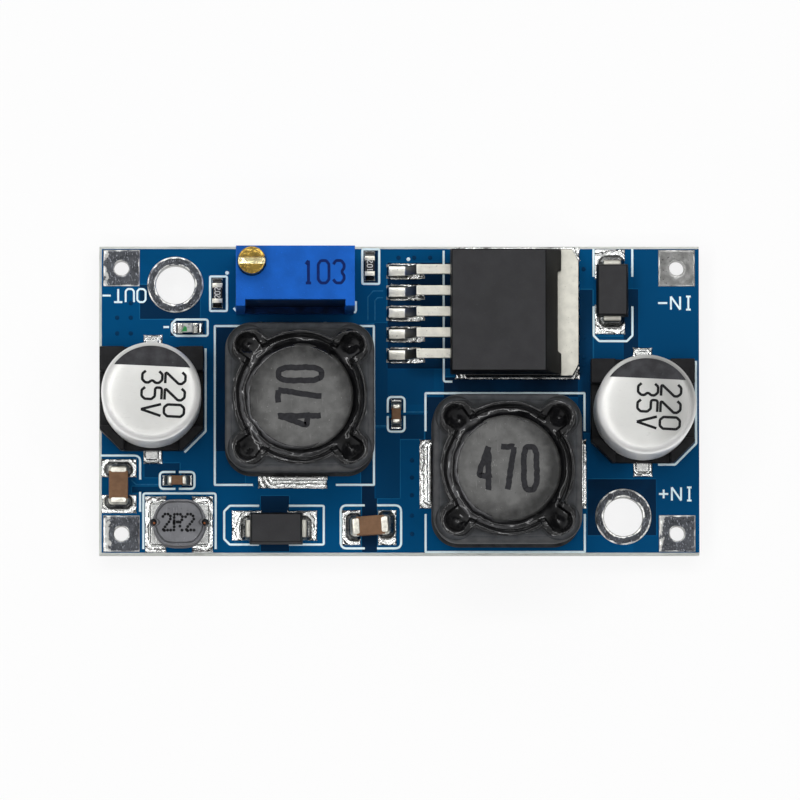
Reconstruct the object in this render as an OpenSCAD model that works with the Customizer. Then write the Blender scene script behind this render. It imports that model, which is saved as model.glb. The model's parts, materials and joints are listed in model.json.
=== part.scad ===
// Buck-boost converter module: a small circuit board with two shielded inductors, two can
// capacitors, a five-lead regulator, a multi-turn trimmer and its chip parts.
// Origin at the middle of the board's underside, +X along the board, +Z towards the parts.

/* [Board] */
// Length of the board
board_l = 48.5; // [48.5:0.1:52]
// Width of the board
board_w = 25; // [25:0.1:28]
// Thickness of the laminate
board_t = 1.6; // [1.2:0.1:2]
// Bevel left by scoring along the left, front and rear edges
score_bevel = 0.2; // [0.05:0.05:0.2]
// Thickness of the tinned lands
land_t = 0.05; // [0.04:0.01:0.08]
// Thickness of the printed legend
legend_t = 0.03; // [0.01:0.01:0.03]
// Width of the legend's lines
legend_line = 0.19; // [0.12:0.01:0.22]

/* [Mounting holes and wire pads] */
// Bore of the two plated mounting holes
mount_hole_d = 3.15; // [2.5:0.05:3.3]
// Outer diameter of the ring round a mounting hole
mount_ring_d = 4.55; // [4:0.05:4.6]
// Distance from a mounting hole's middle to the board's short edge
mount_in_x = 6.15; // [6.05:0.05:6.25]
// Distance from a mounting hole's middle to the board's long edge
mount_in_y = 3.1; // [3:0.05:3.2]
// Side of a square wire pad
pad_size = 2.95; // [2.5:0.05:3]
// Bore of a wire pad
wire_hole_d = 1.2; // [1.2:0.05:1.5]
// Distance from a wire pad's middle to the board's short edge
pad_in_x = 1.8; // [1.75:0.05:1.9]
// Distance from a wire pad's middle to the board's long edge
pad_in_y = 1.75; // [1.7:0.05:1.85]

/* [Shielded inductors] */
// Side of the square shield
coil_size = 12; // [11.6:0.1:12.2]
// Height of an inductor above its lands
coil_h = 8; // [6:0.1:10]
// Corner radius of the shield
coil_corner_r = 2.2; // [1.8:0.1:2.4]
// Rounding along the shield's upper and lower edges
coil_edge_r = 0.55; // [0.2:0.05:0.7]
// Diameter of the shield's opening
coil_opening_d = 10; // [9.6:0.1:10.2]
// Diameter of the drum core's flanges
core_d = 8.6; // [8:0.1:9]
// Width of a terminal
coil_terminal_w = 4.6; // [4:0.1:4.8]

/* [Can capacitors] */
// Diameter of the can
can_d = 8; // [7.6:0.1:8]
// Height of the capacitor above its lands
can_h = 10.3; // [8:0.1:12]
// Side of the square plastic base
can_base = 8.4; // [8.2:0.1:8.4]
// Width of a flat lead
can_lead_w = 0.97; // [0.7:0.01:1.1]

/* [Trimmer] */
// Width of the housing along the board
trim_w = 9.53; // [9.3:0.01:9.6]
// Depth of the housing across the board
trim_d = 4.83; // [4.7:0.01:4.9]
// Height of the housing
trim_h = 10.03; // [9.9:0.01:10.5]
// Diameter of the adjusting screw's head
screw_head_d = 2.2; // [2:0.05:2.25]
// Running clearance round the screw, on the radius
screw_gap = 0.05; // [0.03:0.01:0.06]
// Half of the wiper's travel
wiper_travel = 3; // [2:0.1:3]
// Distance between pins
pin_pitch = 2.54; // [2.5:0.01:2.6]

/* [Regulator] */
// Length of the moulded body along its leads
reg_l = 9; // [8.8:0.1:9.2]
// Width of the moulded body
reg_w = 10.2; // [10:0.1:10.2]
// Height of the regulator above its land
reg_h = 4.5; // [4.2:0.1:4.7]
// Thickness of the metal tab
tab_t = 1.27; // [1:0.01:1.4]
// Distance between leads
lead_pitch = 1.7; // [1.65:0.01:1.72]
// Width of a lead
lead_w = 0.8; // [0.6:0.01:0.9]

/* [Diodes] */
// Length of a diode's body
diode_l = 4.3; // [4:0.1:4.5]
// Width of a diode's body
diode_w = 2.6; // [2.4:0.1:2.8]
// Height of a diode above its lands
diode_h = 2.2; // [1.9:0.1:2.4]
// Width of a diode's leads
diode_lead_w = 1.4; // [1.2:0.1:1.6]

/* [Chip parts] */
// Length of a large chip capacitor
big_chip_l = 3.2; // [3:0.1:3.3]
// Width and height of a large chip capacitor
big_chip_w = 1.6; // [1.4:0.1:1.7]
// Length of a small chip part
small_chip_l = 1.6; // [1.5:0.05:1.65]
// Width of a small chip part
small_chip_w = 0.8; // [0.7:0.05:0.85]

/* [Filter coil] */
// Length of the open coil's lower flange
drum_l = 4.4; // [4.2:0.1:4.5]
// Width of the flange across its flats
drum_w = 4; // [3.8:0.1:4.2]
// Height of the open coil
drum_h = 3.2; // [2.8:0.1:3.6]
// Diameter of the upper flange
drum_top_d = 3.85; // [3.6:0.05:4]

/* [Hidden] */
$fn = 64;

// Level of the tops of the lands, where every part stands
land_z = board_t + land_t;
// Wall of the plating inside a hole
plating_t = 0.05;
// Overlap that keeps a cut from ending on a face
cut = 1;

// Edges of the board, and the board that the places of the parts were measured on
left_edge = -board_l / 2;
right_edge = board_l / 2;
front_edge = -board_w / 2;
rear_edge = board_w / 2;
measured = [48.5, 25];
// Places that spread with the board, for parts that stand against none of its edges
function along(x) = x * board_l / measured[0];
function aside(y) = y * board_w / measured[1];

// Middles of the holes and parts: what stands at an edge keeps its distance from it
mount_places = [[left_edge + mount_in_x, rear_edge - mount_in_y], [right_edge - mount_in_x, front_edge + mount_in_y]];
pad_places = [
    for (x = [left_edge + pad_in_x, right_edge - pad_in_x], y = [front_edge + pad_in_y, rear_edge - pad_in_y]) [x, y]
];
left_coil_at = [along(-8.09), aside(-0.16)];
right_coil_at = [right_edge - 15.68, front_edge + 6.58];
left_can_at = [left_edge + 4.25, aside(0.1)];
right_can_at = [right_edge - 4.6, aside(-0.9)];
trim_at = [along(-8.45), rear_edge - 3.1];
reg_at = [along(8.57), rear_edge - 5.43];
rear_diode_at = [along(17.2), rear_edge - 3.65];
front_diode_at = [along(-9.96), front_edge + 2.1];
drum_at = [along(-17.76), front_edge + 2.5];

// Chip parts: place, turn about Z and size
big_chip = [big_chip_l, big_chip_w, big_chip_w];
small_chip = [small_chip_l, small_chip_w, small_chip_w];
resistor_h = 0.45;
resistor = [small_chip_l, small_chip_w, resistor_h];
indicator_h = 0.7;
left_chip = [[left_edge + 1.57, aside(-6.88)], 90, big_chip];
front_chip = [[along(-2.36), front_edge + 2.35], 4, big_chip];
left_bypass = [[along(-17.95), aside(-6.45)], 0, small_chip];
centre_bypass = [[along(-0.25), aside(-1.1)], 90, small_chip];
left_resistor = [[along(-14.7), aside(8.7)], 90, resistor];
centre_resistor = [[along(-2.38), rear_edge - 1.6], 90, resistor];
indicator = [[along(-17.1), aside(5.87)], 0, [small_chip_l, small_chip_w, indicator_h]];
// Metal at a chip's ends: thickness of the coat, and how far it wraps on to large and small chips
cap_t = 0.03;
big_wrap = 0.6;
small_wrap = 0.35;

// Places a piece on the lands at a middle point, turned about Z
module on_land(at, turn = 0) translate([at[0], at[1], land_z]) rotate(turn) children();

// Places its children at both ends of a part that lies along X
module both_ends() for (a = [0, 180]) rotate(a) children();

// Box with its middle at x = 0 and y = 0, standing on z = 0
module plate(size) translate([-size[0] / 2, -size[1] / 2, 0]) cube(size);

// Upright prism across Y: the profile's x stays x, and its y becomes z
module across(width) translate([0, width / 2, 0]) rotate([90, 0, 0]) linear_extrude(width) children();

// Concave solder fillet that runs out along +X and rises to a wall at x = 0
fillet_steps = 6;
module fillet(run, rise, width)
    across(width) polygon(concat([[0, 0]], [
        for (i = [fillet_steps : -1 : 0]) let (a = 90 * i / fillet_steps)
            [run * (1 - cos(a)), rise * (1 - sin(a))]
    ]));

// Plated hole: its children are the outline of the land on both faces
module plated_hole(hole_d) difference() {
    union() {
        for (z = [-land_t, board_t]) translate([0, 0, z]) linear_extrude(land_t) children();
        translate([0, 0, -land_t]) cylinder(d = hole_d + 2 * plating_t, h = board_t + 2 * land_t);
    }
    translate([0, 0, -land_t - cut]) cylinder(d = hole_d, h = board_t + 2 * land_t + 2 * cut);
}

// Board

// Bar whose turned square section cuts a bevel along an edge that runs through its middle
module bevel_bar(length) rotate([45, 0, 0])
    cube([length, score_bevel * sqrt(2), score_bevel * sqrt(2)], center = true);

module board() color("#0b3563") difference() {
    plate([board_l, board_w, board_t]);
    for (z = [0, board_t]) {
        for (s = [-1, 1]) translate([0, s * board_w / 2, z]) bevel_bar(board_l + 2 * cut);
        translate([-board_l / 2, 0, z]) rotate(90) bevel_bar(board_w + 2 * cut);
    }
    for (p = mount_places) drill(p, mount_hole_d);
    for (p = pad_places) drill(p, wire_hole_d);
    for (p = pin_places) drill(p, pin_hole_d);
}

// Hole through the board that leaves room for its plating
module drill(at, hole_d) translate([at[0], at[1], -cut])
    cylinder(d = hole_d + 2 * plating_t, h = board_t + 2 * cut);

module wire_pads() color("#c8ccce") for (p = pad_places) translate(p)
    plated_hole(wire_hole_d) square(pad_size, center = true);

module mounting_rings() color("#c8ccce") for (p = mount_places) translate(p)
    plated_hole(mount_hole_d) circle(d = mount_ring_d);

module trimmer_pads() color("#c8ccce") for (p = pin_places) translate(p)
    plated_hole(pin_hole_d) circle(d = pin_ring_d);

// Lands

// Pairs of lands: middle, turn about Z, size of one land and the span over both.
// Each pair is a little off its part's middle, as the parts settle when they are soldered.
big_land = [1.5, big_chip_w + 1.25];
big_land_span = big_chip_l + 1.2;
small_land = [0.8, small_chip_w + 0.05];
small_land_span = small_chip_l + 0.8;
diode_land = [2.42, diode_w - 0.15];
diode_land_span = diode_l + 2.6;
coil_land = [1.9, coil_terminal_w + 1];
coil_land_span = coil_size + 1.5;
// Reach of a can capacitor's leads from its middle
can_lead_outer = can_base / 2 + 0.65;
can_land = [2.6, can_lead_w + 0.58];
can_land_span = 2 * can_lead_outer + 0.77;
drum_land = [1.72, drum_w + 0.57];
drum_land_span = drum_l + 1.1;
land_pairs = [
    [left_chip[0] + [0.03, -0.03], 90, big_land, big_land_span],
    [front_chip[0] + [-0.08, -0.13], 0, big_land, big_land_span],
    [left_bypass[0], 0, small_land, small_land_span],
    [centre_bypass[0], 90, small_land, small_land_span],
    [left_resistor[0], 90, small_land, small_land_span],
    [centre_resistor[0], 90, small_land, small_land_span],
    [indicator[0], 0, small_land, small_land_span],
    [left_coil_at + [-0.54, -0.2], 90, coil_land, coil_land_span],
    [right_coil_at + [-0.2, -0.02], 0, coil_land, coil_land_span],
    [left_can_at + [0.1, 0.01], 90, can_land, can_land_span],
    [right_can_at + [0.03, -0.03], 90, can_land, can_land_span],
    [rear_diode_at + [-0.15, -0.03], 90, diode_land, diode_land_span],
    [front_diode_at + [-0.13, 0.29], 0, diode_land, diode_land_span],
    [drum_at + [-0.03, 0], 0, drum_land, drum_land_span]
];
// The regulator's lands: how far they reach past the tab, under the body and past the feet
tab_land_past = 0.14;
tab_land_in = 0.43;
tab_land_w = reg_w + 0.5;
toe_land_past = 0.16;
heel_land_past = 1.33;
lead_land_w = lead_w + 0.35;

module component_land(size) linear_extrude(land_t) square(size, center = true);

module land_strip(from, to, width) translate([(from + to) / 2, 0]) component_land([to - from, width]);

module component_lands() color("#c8ccce") translate([0, 0, board_t]) {
    for (p = land_pairs) translate(p[0]) rotate(p[1]) both_ends()
        translate([(p[3] - p[2][0]) / 2, 0]) component_land(p[2]);
    translate(reg_at) {
        land_strip(-reg_l / 2 + tab_land_in, tab_end + tab_land_past, tab_land_w);
        for (y = lead_rows) translate([0, y])
            land_strip(lead_foot[0] - toe_land_past, lead_foot[1] + heel_land_past, lead_land_w);
    }
}

// Legend

// Line through a list of points, as overlapping bars
module stroke(points) for (i = [0 : len(points) - 2]) {
    step = points[i + 1] - points[i];
    translate(points[i]) rotate(atan2(step[1], step[0])) translate([-legend_line / 2, -legend_line / 2, 0])
        cube([norm(step) + legend_line, legend_line, legend_t]);
}

module legend_dot(at, r) translate(at) cylinder(r = r, h = legend_t);

// Two facing brackets round a part: half sizes, half of the gap between them and a corner cut
module brackets(half, gap, corner) both_ends() stroke([
    [gap, -half[1]], [half[0] - corner, -half[1]], [half[0], -half[1] + corner],
    [half[0], half[1] - corner], [half[0] - corner, half[1]], [gap, half[1]]
]);

// Clearances of the printed outlines: past a part's end and past its side, and where an outline stops
small_print = [0.6, 0.28];
small_print_gap = 0.14;
small_print_corner = 0.12;
big_print = [0.84, 0.94];
big_print_gap = 0.5;
big_print_corner = 0.33;
indicator_print = [0.65, 0.26];
indicator_print_corner = 0.3;
minus_l = 0.45;
coil_print = 0.43;
coil_print_gap = 0.35;
can_print = 0.15;
can_print_foot = 1.39;
diode_print = [1.87, 0.27];
diode_print_corner = 0.45;
diode_print_gap = 1.2;
diode_print_short = 0.57;
drum_print = [0.72, 0.5];
trim_print = 0.185;
trim_print_foot = 0.35;
reg_print = [0.47, 0.42];
reg_print_foot = 0.69;
dot_r = 0.15;

// Outline beside a can capacitor: a straight side with a cut corner, and a foot along its front
module can_legend(foot) {
    side = can_base / 2 + can_print;
    front = -can_base / 2 + base_cut - can_print / 2;
    stroke([
        [side, can_base / 2 - can_print / 2], [side, front], [side - base_cut, front - base_cut],
        [side - base_cut - foot, front - base_cut]
    ]);
}

// Outline of an inductor, open at its lands
module coil_legend() rotate(90)
    brackets(coil_size / 2 * [1, 1] + coil_print * [1, 1], coil_land[1] / 2 + coil_print_gap, 0);

// Outline of a diode that lies along X: cut corners at one end, square ones or none at the other
module diode_legend(square_end) {
    half = [diode_l / 2 + diode_print[0], diode_w / 2 + diode_print[1]];
    cut_x = half[0] - diode_print_corner;
    cut_y = half[1] - diode_print_corner;
    stroke([
        [-diode_print_gap, half[1]], [-cut_x, half[1]], [-half[0], cut_y],
        [-half[0], -cut_y], [-cut_x, -half[1]], [-diode_print_gap, -half[1]]
    ]);
    if (square_end)
        stroke([[diode_print_gap, half[1]], half, [half[0], -half[1]], [diode_print_gap, -half[1]]]);
    else for (y = [-half[1], half[1]])
        stroke([[diode_print_gap, y], [half[0] - diode_print_short, y]]);
}

module indicator_legend() {
    x = small_chip_l / 2 + indicator_print[0];
    y = small_chip_w / 2 + indicator_print[1];
    c = indicator_print_corner;
    stroke([[c - x, y], [x, y], [x, -y], [c - x, -y], [-x, c - y], [-x, y - c], [c - x, y]]);
    stroke([[-x - minus_l / 2, 0.05] - [minus_l, 0], [-x - minus_l / 2, 0.05]]);
}

module legend() color("#eef0ee") translate([0, 0, board_t]) {
    small_half = [small_chip_l / 2, small_chip_w / 2] + small_print;
    for (c = [left_bypass, centre_bypass]) translate(c[0]) rotate(c[1])
        brackets(small_half, small_print_gap, small_print_corner);
    for (c = [left_resistor, centre_resistor]) translate(c[0]) rotate(c[1])
        brackets(small_half, 0, small_print_corner);
    translate(left_resistor[0]) legend_dot([small_half[1] + 0.1, small_half[0] + 0.26], dot_r);
    translate(indicator[0]) indicator_legend();
    translate(left_coil_at + [-0.39, -0.22]) rotate(90) coil_legend();
    translate(right_coil_at + [-0.02, 0.1]) coil_legend();
    translate(left_can_at) can_legend(0);
    translate(right_can_at) can_legend(can_print_foot);
    translate(rear_diode_at) rotate(90) diode_legend(false);
    translate(front_diode_at + [-0.17, 0.33]) diode_legend(true);
    translate(left_chip[0]) {
        x = big_chip_w / 2 + big_print[1];
        y = big_chip_l / 2 + big_print[0];
        corner = big_print_corner;
        stroke([[-x + corner, y], [x - corner, y], [x, y - corner], [x, big_print_gap]]);
        stroke([[x, -big_print_gap], [x, -y + corner]]);
    }
    translate(front_chip[0] + [0.06, -0.06])
        brackets([big_chip_l / 2, big_chip_w / 2] + big_print, big_print_gap, big_print_corner);
    translate(drum_at) {
        x = drum_l / 2 + drum_print[0];
        y = drum_w / 2 + drum_print[1];
        stroke([[-x, -drum_w / 2], [-x, y], [x, y], [x, -drum_w / 2]]);
    }
    translate(trim_at) {
        x = trim_w / 2 + trim_print;
        foot_y = -trim_d / 2 + trim_print_foot / 2;
        stroke([[x, trim_d / 2 + trim_print], [x, foot_y], [x - trim_print_foot, foot_y]]);
        stroke([[-x + 2 * trim_print_foot, foot_y], [-x + trim_print_foot, foot_y], [-x, foot_y + trim_print_foot]]);
    }
    translate(reg_at) {
        x = -reg_l / 2 - reg_print[0];
        y = reg_w / 2 + reg_print[1];
        stroke([[x, reg_w / 2], [x, -y], [x + reg_print_foot, -y]]);
        legend_dot([lead_foot[1], lead_rows[4] + lead_pitch / 2 + dot_r], dot_r);
    }
}

// Trimmer: a housing open at its front, with a lead screw that carries the wiper up an element

trim_side = 0.75;
trim_rear = 0.45;
trim_top = 1.1;
trim_floor = 0.9;
trim_recess = 0.53;
potting_t = 0.5;
element_t = 0.62;
// Height of the opening between the floor and the top wall
chamber_h = trim_h - trim_floor - trim_top;
// Front of the chamber, which is the element's working face
element_y = -trim_d / 2 + trim_recess + potting_t + element_t;
screw_inset = 1.27;
screw_at = [-trim_w / 2 + screw_inset, trim_d / 2 - screw_inset];
screw_proud = 1.4;
screw_shaft_d = 1.3;
screw_pivot_d = 1;
screw_pivot_l = 0.5;
screw_ledge = 0.3;
slot_w = 0.55;
slot_depth = 0.7;
pin_w = 0.46;
pin_out = 1;
pin_top = 1.2;
pin_hole_d = 0.9;
pin_ring_d = 1.7;
pin_y = element_y + pin_w / 2;
pin_rows = [-pin_pitch, 0, pin_pitch];
pin_places = [for (x = pin_rows) trim_at + [x, pin_y]];
wiper_end_gap = 0.26;
wiper_h = chamber_h - 2 * wiper_travel - 2 * wiper_end_gap;
wiper_z = trim_floor + chamber_h / 2;

module at_screw() translate([screw_at[0], screw_at[1], 0]) children();

// Upright square pin at each of the three places
module pin_posts(from, to) for (x = pin_rows) translate([x, pin_y, from]) plate([pin_w, pin_w, to - from]);

module trimmer_housing() color("#1c5fb8") on_land(trim_at) difference() {
    plate([trim_w, trim_d, trim_h]);
    // The recess between the side walls, from the top to the floor
    translate([-trim_w / 2 + trim_side, -trim_d / 2 - cut, trim_floor])
        cube([trim_w - 2 * trim_side, trim_recess + cut, trim_h]);
    // The pocket for the potting and the element
    translate([-trim_w / 2 + trim_side, -trim_d / 2, trim_floor])
        cube([trim_w - 2 * trim_side, element_y + trim_d / 2, chamber_h]);
    // The chamber that the wiper runs in
    translate([-trim_w / 2 + trim_side, element_y - cut, trim_floor])
        cube([trim_w - 2 * trim_side, trim_d / 2 - trim_rear - element_y + cut, chamber_h]);
    at_screw() {
        translate([0, 0, trim_h - trim_top + screw_ledge - screw_gap])
            cylinder(d = screw_head_d + 2 * screw_gap, h = trim_top + cut);
        translate([0, 0, trim_floor]) cylinder(d = screw_shaft_d + 2 * screw_gap, h = trim_h);
        translate([0, 0, trim_floor - screw_pivot_l - screw_gap])
            cylinder(d = screw_pivot_d + 2 * screw_gap, h = trim_h / 2);
    }
    pin_posts(-cut, trim_floor + cut);
}

module trimmer_screw() color("#c9a452") on_land(trim_at) at_screw() difference() {
    union() {
        head_z = trim_h - trim_top + screw_ledge;
        translate([0, 0, head_z]) cylinder(d = screw_head_d, h = trim_h + screw_proud - head_z);
        translate([0, 0, trim_floor + screw_gap]) cylinder(d = screw_shaft_d, h = head_z - trim_floor - screw_gap);
        translate([0, 0, trim_floor - screw_pivot_l]) cylinder(d = screw_pivot_d, h = screw_pivot_l + cut);
    }
    translate([0, 0, trim_h + screw_proud - slot_depth]) plate([screw_head_d + cut, slot_w, slot_depth + cut]);
}

// Half nut on the lead screw, with a nose that bears on the element
wiper_gap = 0.08;
wiper_reach = 3.2;
nose_w = 2.2;
nose_h = 0.5;
module trimmer_wiper() color("#d8d4c4") on_land(trim_at) difference() {
    left = -trim_w / 2 + trim_side + wiper_gap;
    rear = trim_d / 2 - trim_rear - wiper_gap;
    front = screw_at[1] - screw_shaft_d / 2 - 0.3;
    union() {
        translate([left, front, wiper_z - wiper_h / 2]) cube([wiper_reach, rear - front, wiper_h]);
        translate([left + wiper_reach - nose_w, element_y + wiper_gap / 2, wiper_z - nose_h / 2])
            cube([nose_w, front - element_y, nose_h]);
    }
    at_screw() cylinder(d = screw_shaft_d + 2 * screw_gap, h = trim_h);
}

module trimmer_element() color("#e6e2d8") on_land(trim_at)
    translate([0, element_y - element_t / 2, trim_floor]) plate([trim_w - 2 * trim_side, element_t, chamber_h]);

module trimmer_potting() color("#2f6ec2") on_land(trim_at)
    translate([0, -trim_d / 2 + trim_recess + potting_t / 2, trim_floor])
        plate([trim_w - 2 * trim_side, potting_t, chamber_h]);

module trimmer_pins() color("#c8ccce") on_land(trim_at) pin_posts(-land_z - pin_out, pin_top);

// Solder that fills each plated hole round its pin, with a cone under the board
module trimmer_pin_solder() color("#b4b8ba") for (p = pin_places) translate(p) difference() {
    rotate_extrude() polygon([
        [0, land_z], [pin_hole_d / 2, land_z], [pin_hole_d / 2, -land_t], [pin_ring_d / 2, -land_t],
        [pin_w * 0.9, -pin_out * 0.55], [pin_w * 0.75, -pin_out * 0.85], [0, -pin_out * 0.85]
    ]);
    translate([0, 0, -pin_out - cut]) plate([pin_w, pin_w, land_z + pin_out + 2 * cut]);
}

// Regulator: leads along -X, tab along +X

tab_past = 1.39;
tab_corner = [0.5, 0.93];
tab_end = reg_l / 2 + tab_past;
slug_w = reg_w - 2.3;
slug_start = -reg_l / 2 + 0.9;
body_slope = 1.3;
body_draft = 0.18;
mould_notch = [0.3, reg_w - 3.6];
parting_z = 2.5;
lead_t = 0.5;
lead_foot = [-reg_l / 2 - 4.94, -reg_l / 2 - 3.32];
lead_shoulder = -reg_l / 2 - 2.48;
lead_in = 0.7;
lead_rows = [for (i = [-2 : 2]) i * lead_pitch];

module regulator_blank() intersection() {
    across(reg_w + cut) polygon([
        [-reg_l / 2 + body_draft / 2, 0], [reg_l / 2, 0], [reg_l / 2, tab_t + 0.2],
        [reg_l / 2 - body_slope, reg_h], [-reg_l / 2 + body_draft / 2, reg_h], [-reg_l / 2, parting_z]
    ]);
    rotate(90) across(reg_l + cut) polygon([
        for (s = [-1, 1], p = [[reg_w / 2 - body_draft, 0], [reg_w / 2, parting_z], [reg_w / 2 - body_draft, reg_h]])
            s < 0 ? [-p[0], p[1]] : [p[0], reg_h - p[1]]
    ]);
}

module tab_outline() difference() {
    union() {
        polygon([
            [reg_l / 2, -reg_w / 2], [tab_end - tab_corner[0], -reg_w / 2], [tab_end, -reg_w / 2 + tab_corner[1]],
            [tab_end, reg_w / 2 - tab_corner[1]], [tab_end - tab_corner[0], reg_w / 2], [reg_l / 2, reg_w / 2]
        ]);
        translate([slug_start, -slug_w / 2]) square([tab_end - slug_start - tab_past / 2, slug_w]);
    }
    for (s = [-1, 1]) translate([reg_l / 2 + 0.32, s * reg_w / 2]) circle(0.3);
}

module tab_solid() linear_extrude(tab_t) tab_outline();

module lead_solids() for (y = lead_rows) translate([0, y, 0]) across(lead_w) polygon([
    [lead_foot[0], 0], [lead_foot[1], 0], [lead_shoulder, parting_z - lead_t / 2],
    [-reg_l / 2 + lead_in, parting_z - lead_t / 2], [-reg_l / 2 + lead_in, parting_z + lead_t / 2],
    [lead_shoulder - lead_t * 0.5, parting_z + lead_t / 2], [lead_foot[1] - lead_t * 0.5, lead_t],
    [lead_foot[0], lead_t]
]);

module regulator_body() color("#35363a") on_land(reg_at) difference() {
    regulator_blank();
    tab_solid();
    lead_solids();
    translate([reg_l / 2 - mould_notch[0] + cut, 0, tab_t]) plate([2 * cut, mould_notch[1], reg_h]);
}

module regulator_tab() color("#b9bcc0") on_land(reg_at) tab_solid();

module regulator_leads() color("#c4c7ca") on_land(reg_at) lead_solids();

// Shielded inductors, with terminals along X

coil_terminal_t = 0.3;
coil_terminal_in = 2.6;
coil_terminal_lip = 1.1;
lobe_r = 1.2;
lobe_at = coil_size / 2 - 1.85;
core_post_d = core_d - 4.2;
flange_t = 1.3;
core_edge_r = 0.35;
core_low = 0.12;
glue_low = 0.35;
glue_t = 0.9;

module coil_opening() {
    circle(d = coil_opening_d);
    for (x = [-1, 1], y = [-1, 1]) translate([x, y] * lobe_at) circle(lobe_r);
}

// Side of a block from its foot to its top, rounded at both
function soft_side(reach, h, r) = [
    for (up = [0, 1], a = [0 : 30 : 90])
        [reach - r + r * (up == 0 ? sin(a) : cos(a)), up == 0 ? r - r * cos(a) : h - r + r * sin(a)]
];
function mirrored(points) = [for (i = [len(points) - 1 : -1 : 0]) [-points[i][0], points[i][1]]];

// Square block with round corners whose upper and lower edges are rounded too
module soft_block(size, h, corner_r, edge_r) {
    side = soft_side(size / 2, h, edge_r);
    for (a = [0, 90]) rotate(a) across(size - 2 * corner_r) polygon(concat(side, mirrored(side)));
    for (x = [-1, 1], y = [-1, 1]) translate([x, y, 0] * (size / 2 - corner_r))
        rotate_extrude() polygon(concat([[0, 0]], soft_side(corner_r, h, edge_r), [[0, h]]));
}

module coil_shield() color("#4a4a4c") translate([0, 0, coil_terminal_t]) difference() {
    soft_block(coil_size, coil_h - coil_terminal_t, coil_corner_r, coil_edge_r);
    translate([0, 0, -cut]) linear_extrude(coil_h + 2 * cut) coil_opening();
}

module coil_core() color("#68686a") {
    top = coil_h - core_low;
    r = core_d / 2;
    post = core_post_d / 2;
    rotate_extrude() polygon(concat(
        [[0, coil_terminal_t], [r, coil_terminal_t], [r, coil_terminal_t + flange_t],
            [post, coil_terminal_t + flange_t], [post, top - flange_t], [r, top - flange_t]],
        [for (a = [0 : 22.5 : 90]) [r - core_edge_r * (1 - cos(a)), top - core_edge_r * (1 - sin(a))]],
        [[0, top]]
    ));
}

winding_inset = 0.3;
module coil_winding() color("#b0623a") {
    low = coil_terminal_t + flange_t;
    high = coil_h - core_low - flange_t;
    translate([0, 0, low]) linear_extrude(high - low) difference() {
        circle(d = core_d - 2 * winding_inset);
        circle(d = core_post_d);
    }
}

module coil_glue() color("#141415") translate([0, 0, coil_h - glue_low - glue_t]) linear_extrude(glue_t)
    difference() {
        coil_opening();
        circle(d = core_d);
    }

module coil_terminals() color("#c4c7ca") both_ends() across(coil_terminal_w) polygon([
    [coil_size / 2 - coil_terminal_in, 0], [coil_size / 2 + coil_terminal_t, 0],
    [coil_size / 2 + coil_terminal_t, coil_terminal_lip], [coil_size / 2, coil_terminal_lip],
    [coil_size / 2, coil_terminal_t], [coil_size / 2 - coil_terminal_in, coil_terminal_t]
]);

module left_inductor_shield() on_land(left_coil_at, 90) coil_shield();
module left_inductor_core() on_land(left_coil_at, 90) coil_core();
module left_inductor_winding() on_land(left_coil_at, 90) coil_winding();
module left_inductor_glue() on_land(left_coil_at, 90) coil_glue();
module left_inductor_terminals() on_land(left_coil_at, 90) coil_terminals();
module right_inductor_shield() on_land(right_coil_at) coil_shield();
module right_inductor_core() on_land(right_coil_at) coil_core();
module right_inductor_winding() on_land(right_coil_at) coil_winding();
module right_inductor_glue() on_land(right_coil_at) coil_glue();
module right_inductor_terminals() on_land(right_coil_at) coil_terminals();

// Can capacitors, with leads along Y and the cut corners at the front

can_seat = 0.9;
base_post_h = 2;
base_cut = 1.7;
base_side_gap = can_base - 4;
can_rim_r = 0.55;
bead_z = 2.7;
bead_r = 0.45;
bead_depth = 0.3;
can_lead_t = 0.25;
can_lead_inner = 0.9;

module can_solid() {
    r = can_d / 2;
    rotate_extrude() difference() {
        polygon(concat(
            [[0, can_seat], [r, can_seat]],
            [for (a = [0 : 15 : 90]) [r - can_rim_r * (1 - cos(a)), can_h - can_rim_r * (1 - sin(a))]],
            [[0, can_h]]
        ));
        translate([r + bead_r - bead_depth, bead_z]) circle(bead_r);
    }
}

module can_leads() for (s = [-1, 1])
    translate([0, s * (can_lead_inner + can_lead_outer) / 2, 0])
        plate([can_lead_w, can_lead_outer - can_lead_inner, can_lead_t]);

module can_base_solid() difference() {
    half = can_base / 2;
    linear_extrude(base_post_h) polygon([
        [-half, half], [-half, -half + base_cut], [-half + base_cut, -half],
        [half - base_cut, -half], [half, -half + base_cut], [half, half]
    ]);
    translate([0, 0, can_seat]) cylinder(d = can_d, h = base_post_h);
    for (a = [0, 90]) rotate(a) translate([0, 0, can_seat]) plate([can_base + cut, base_side_gap, base_post_h]);
    can_leads();
}

module left_capacitor_can() color("#c9cbcc") on_land(left_can_at) can_solid();
module left_capacitor_base() color("#1d1d1f") on_land(left_can_at) can_base_solid();
module left_capacitor_leads() color("#c4c7ca") on_land(left_can_at) can_leads();
module right_capacitor_can() color("#c9cbcc") on_land(right_can_at) can_solid();
module right_capacitor_base() color("#1d1d1f") on_land(right_can_at) can_base_solid();
module right_capacitor_leads() color("#c4c7ca") on_land(right_can_at) can_leads();

// Diodes, with leads along X

diode_lead_t = 0.22;
diode_lead_out = 0.35;
diode_lead_z = 1.1;
diode_lead_under = 1;
diode_draft = 0.14;

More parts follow.
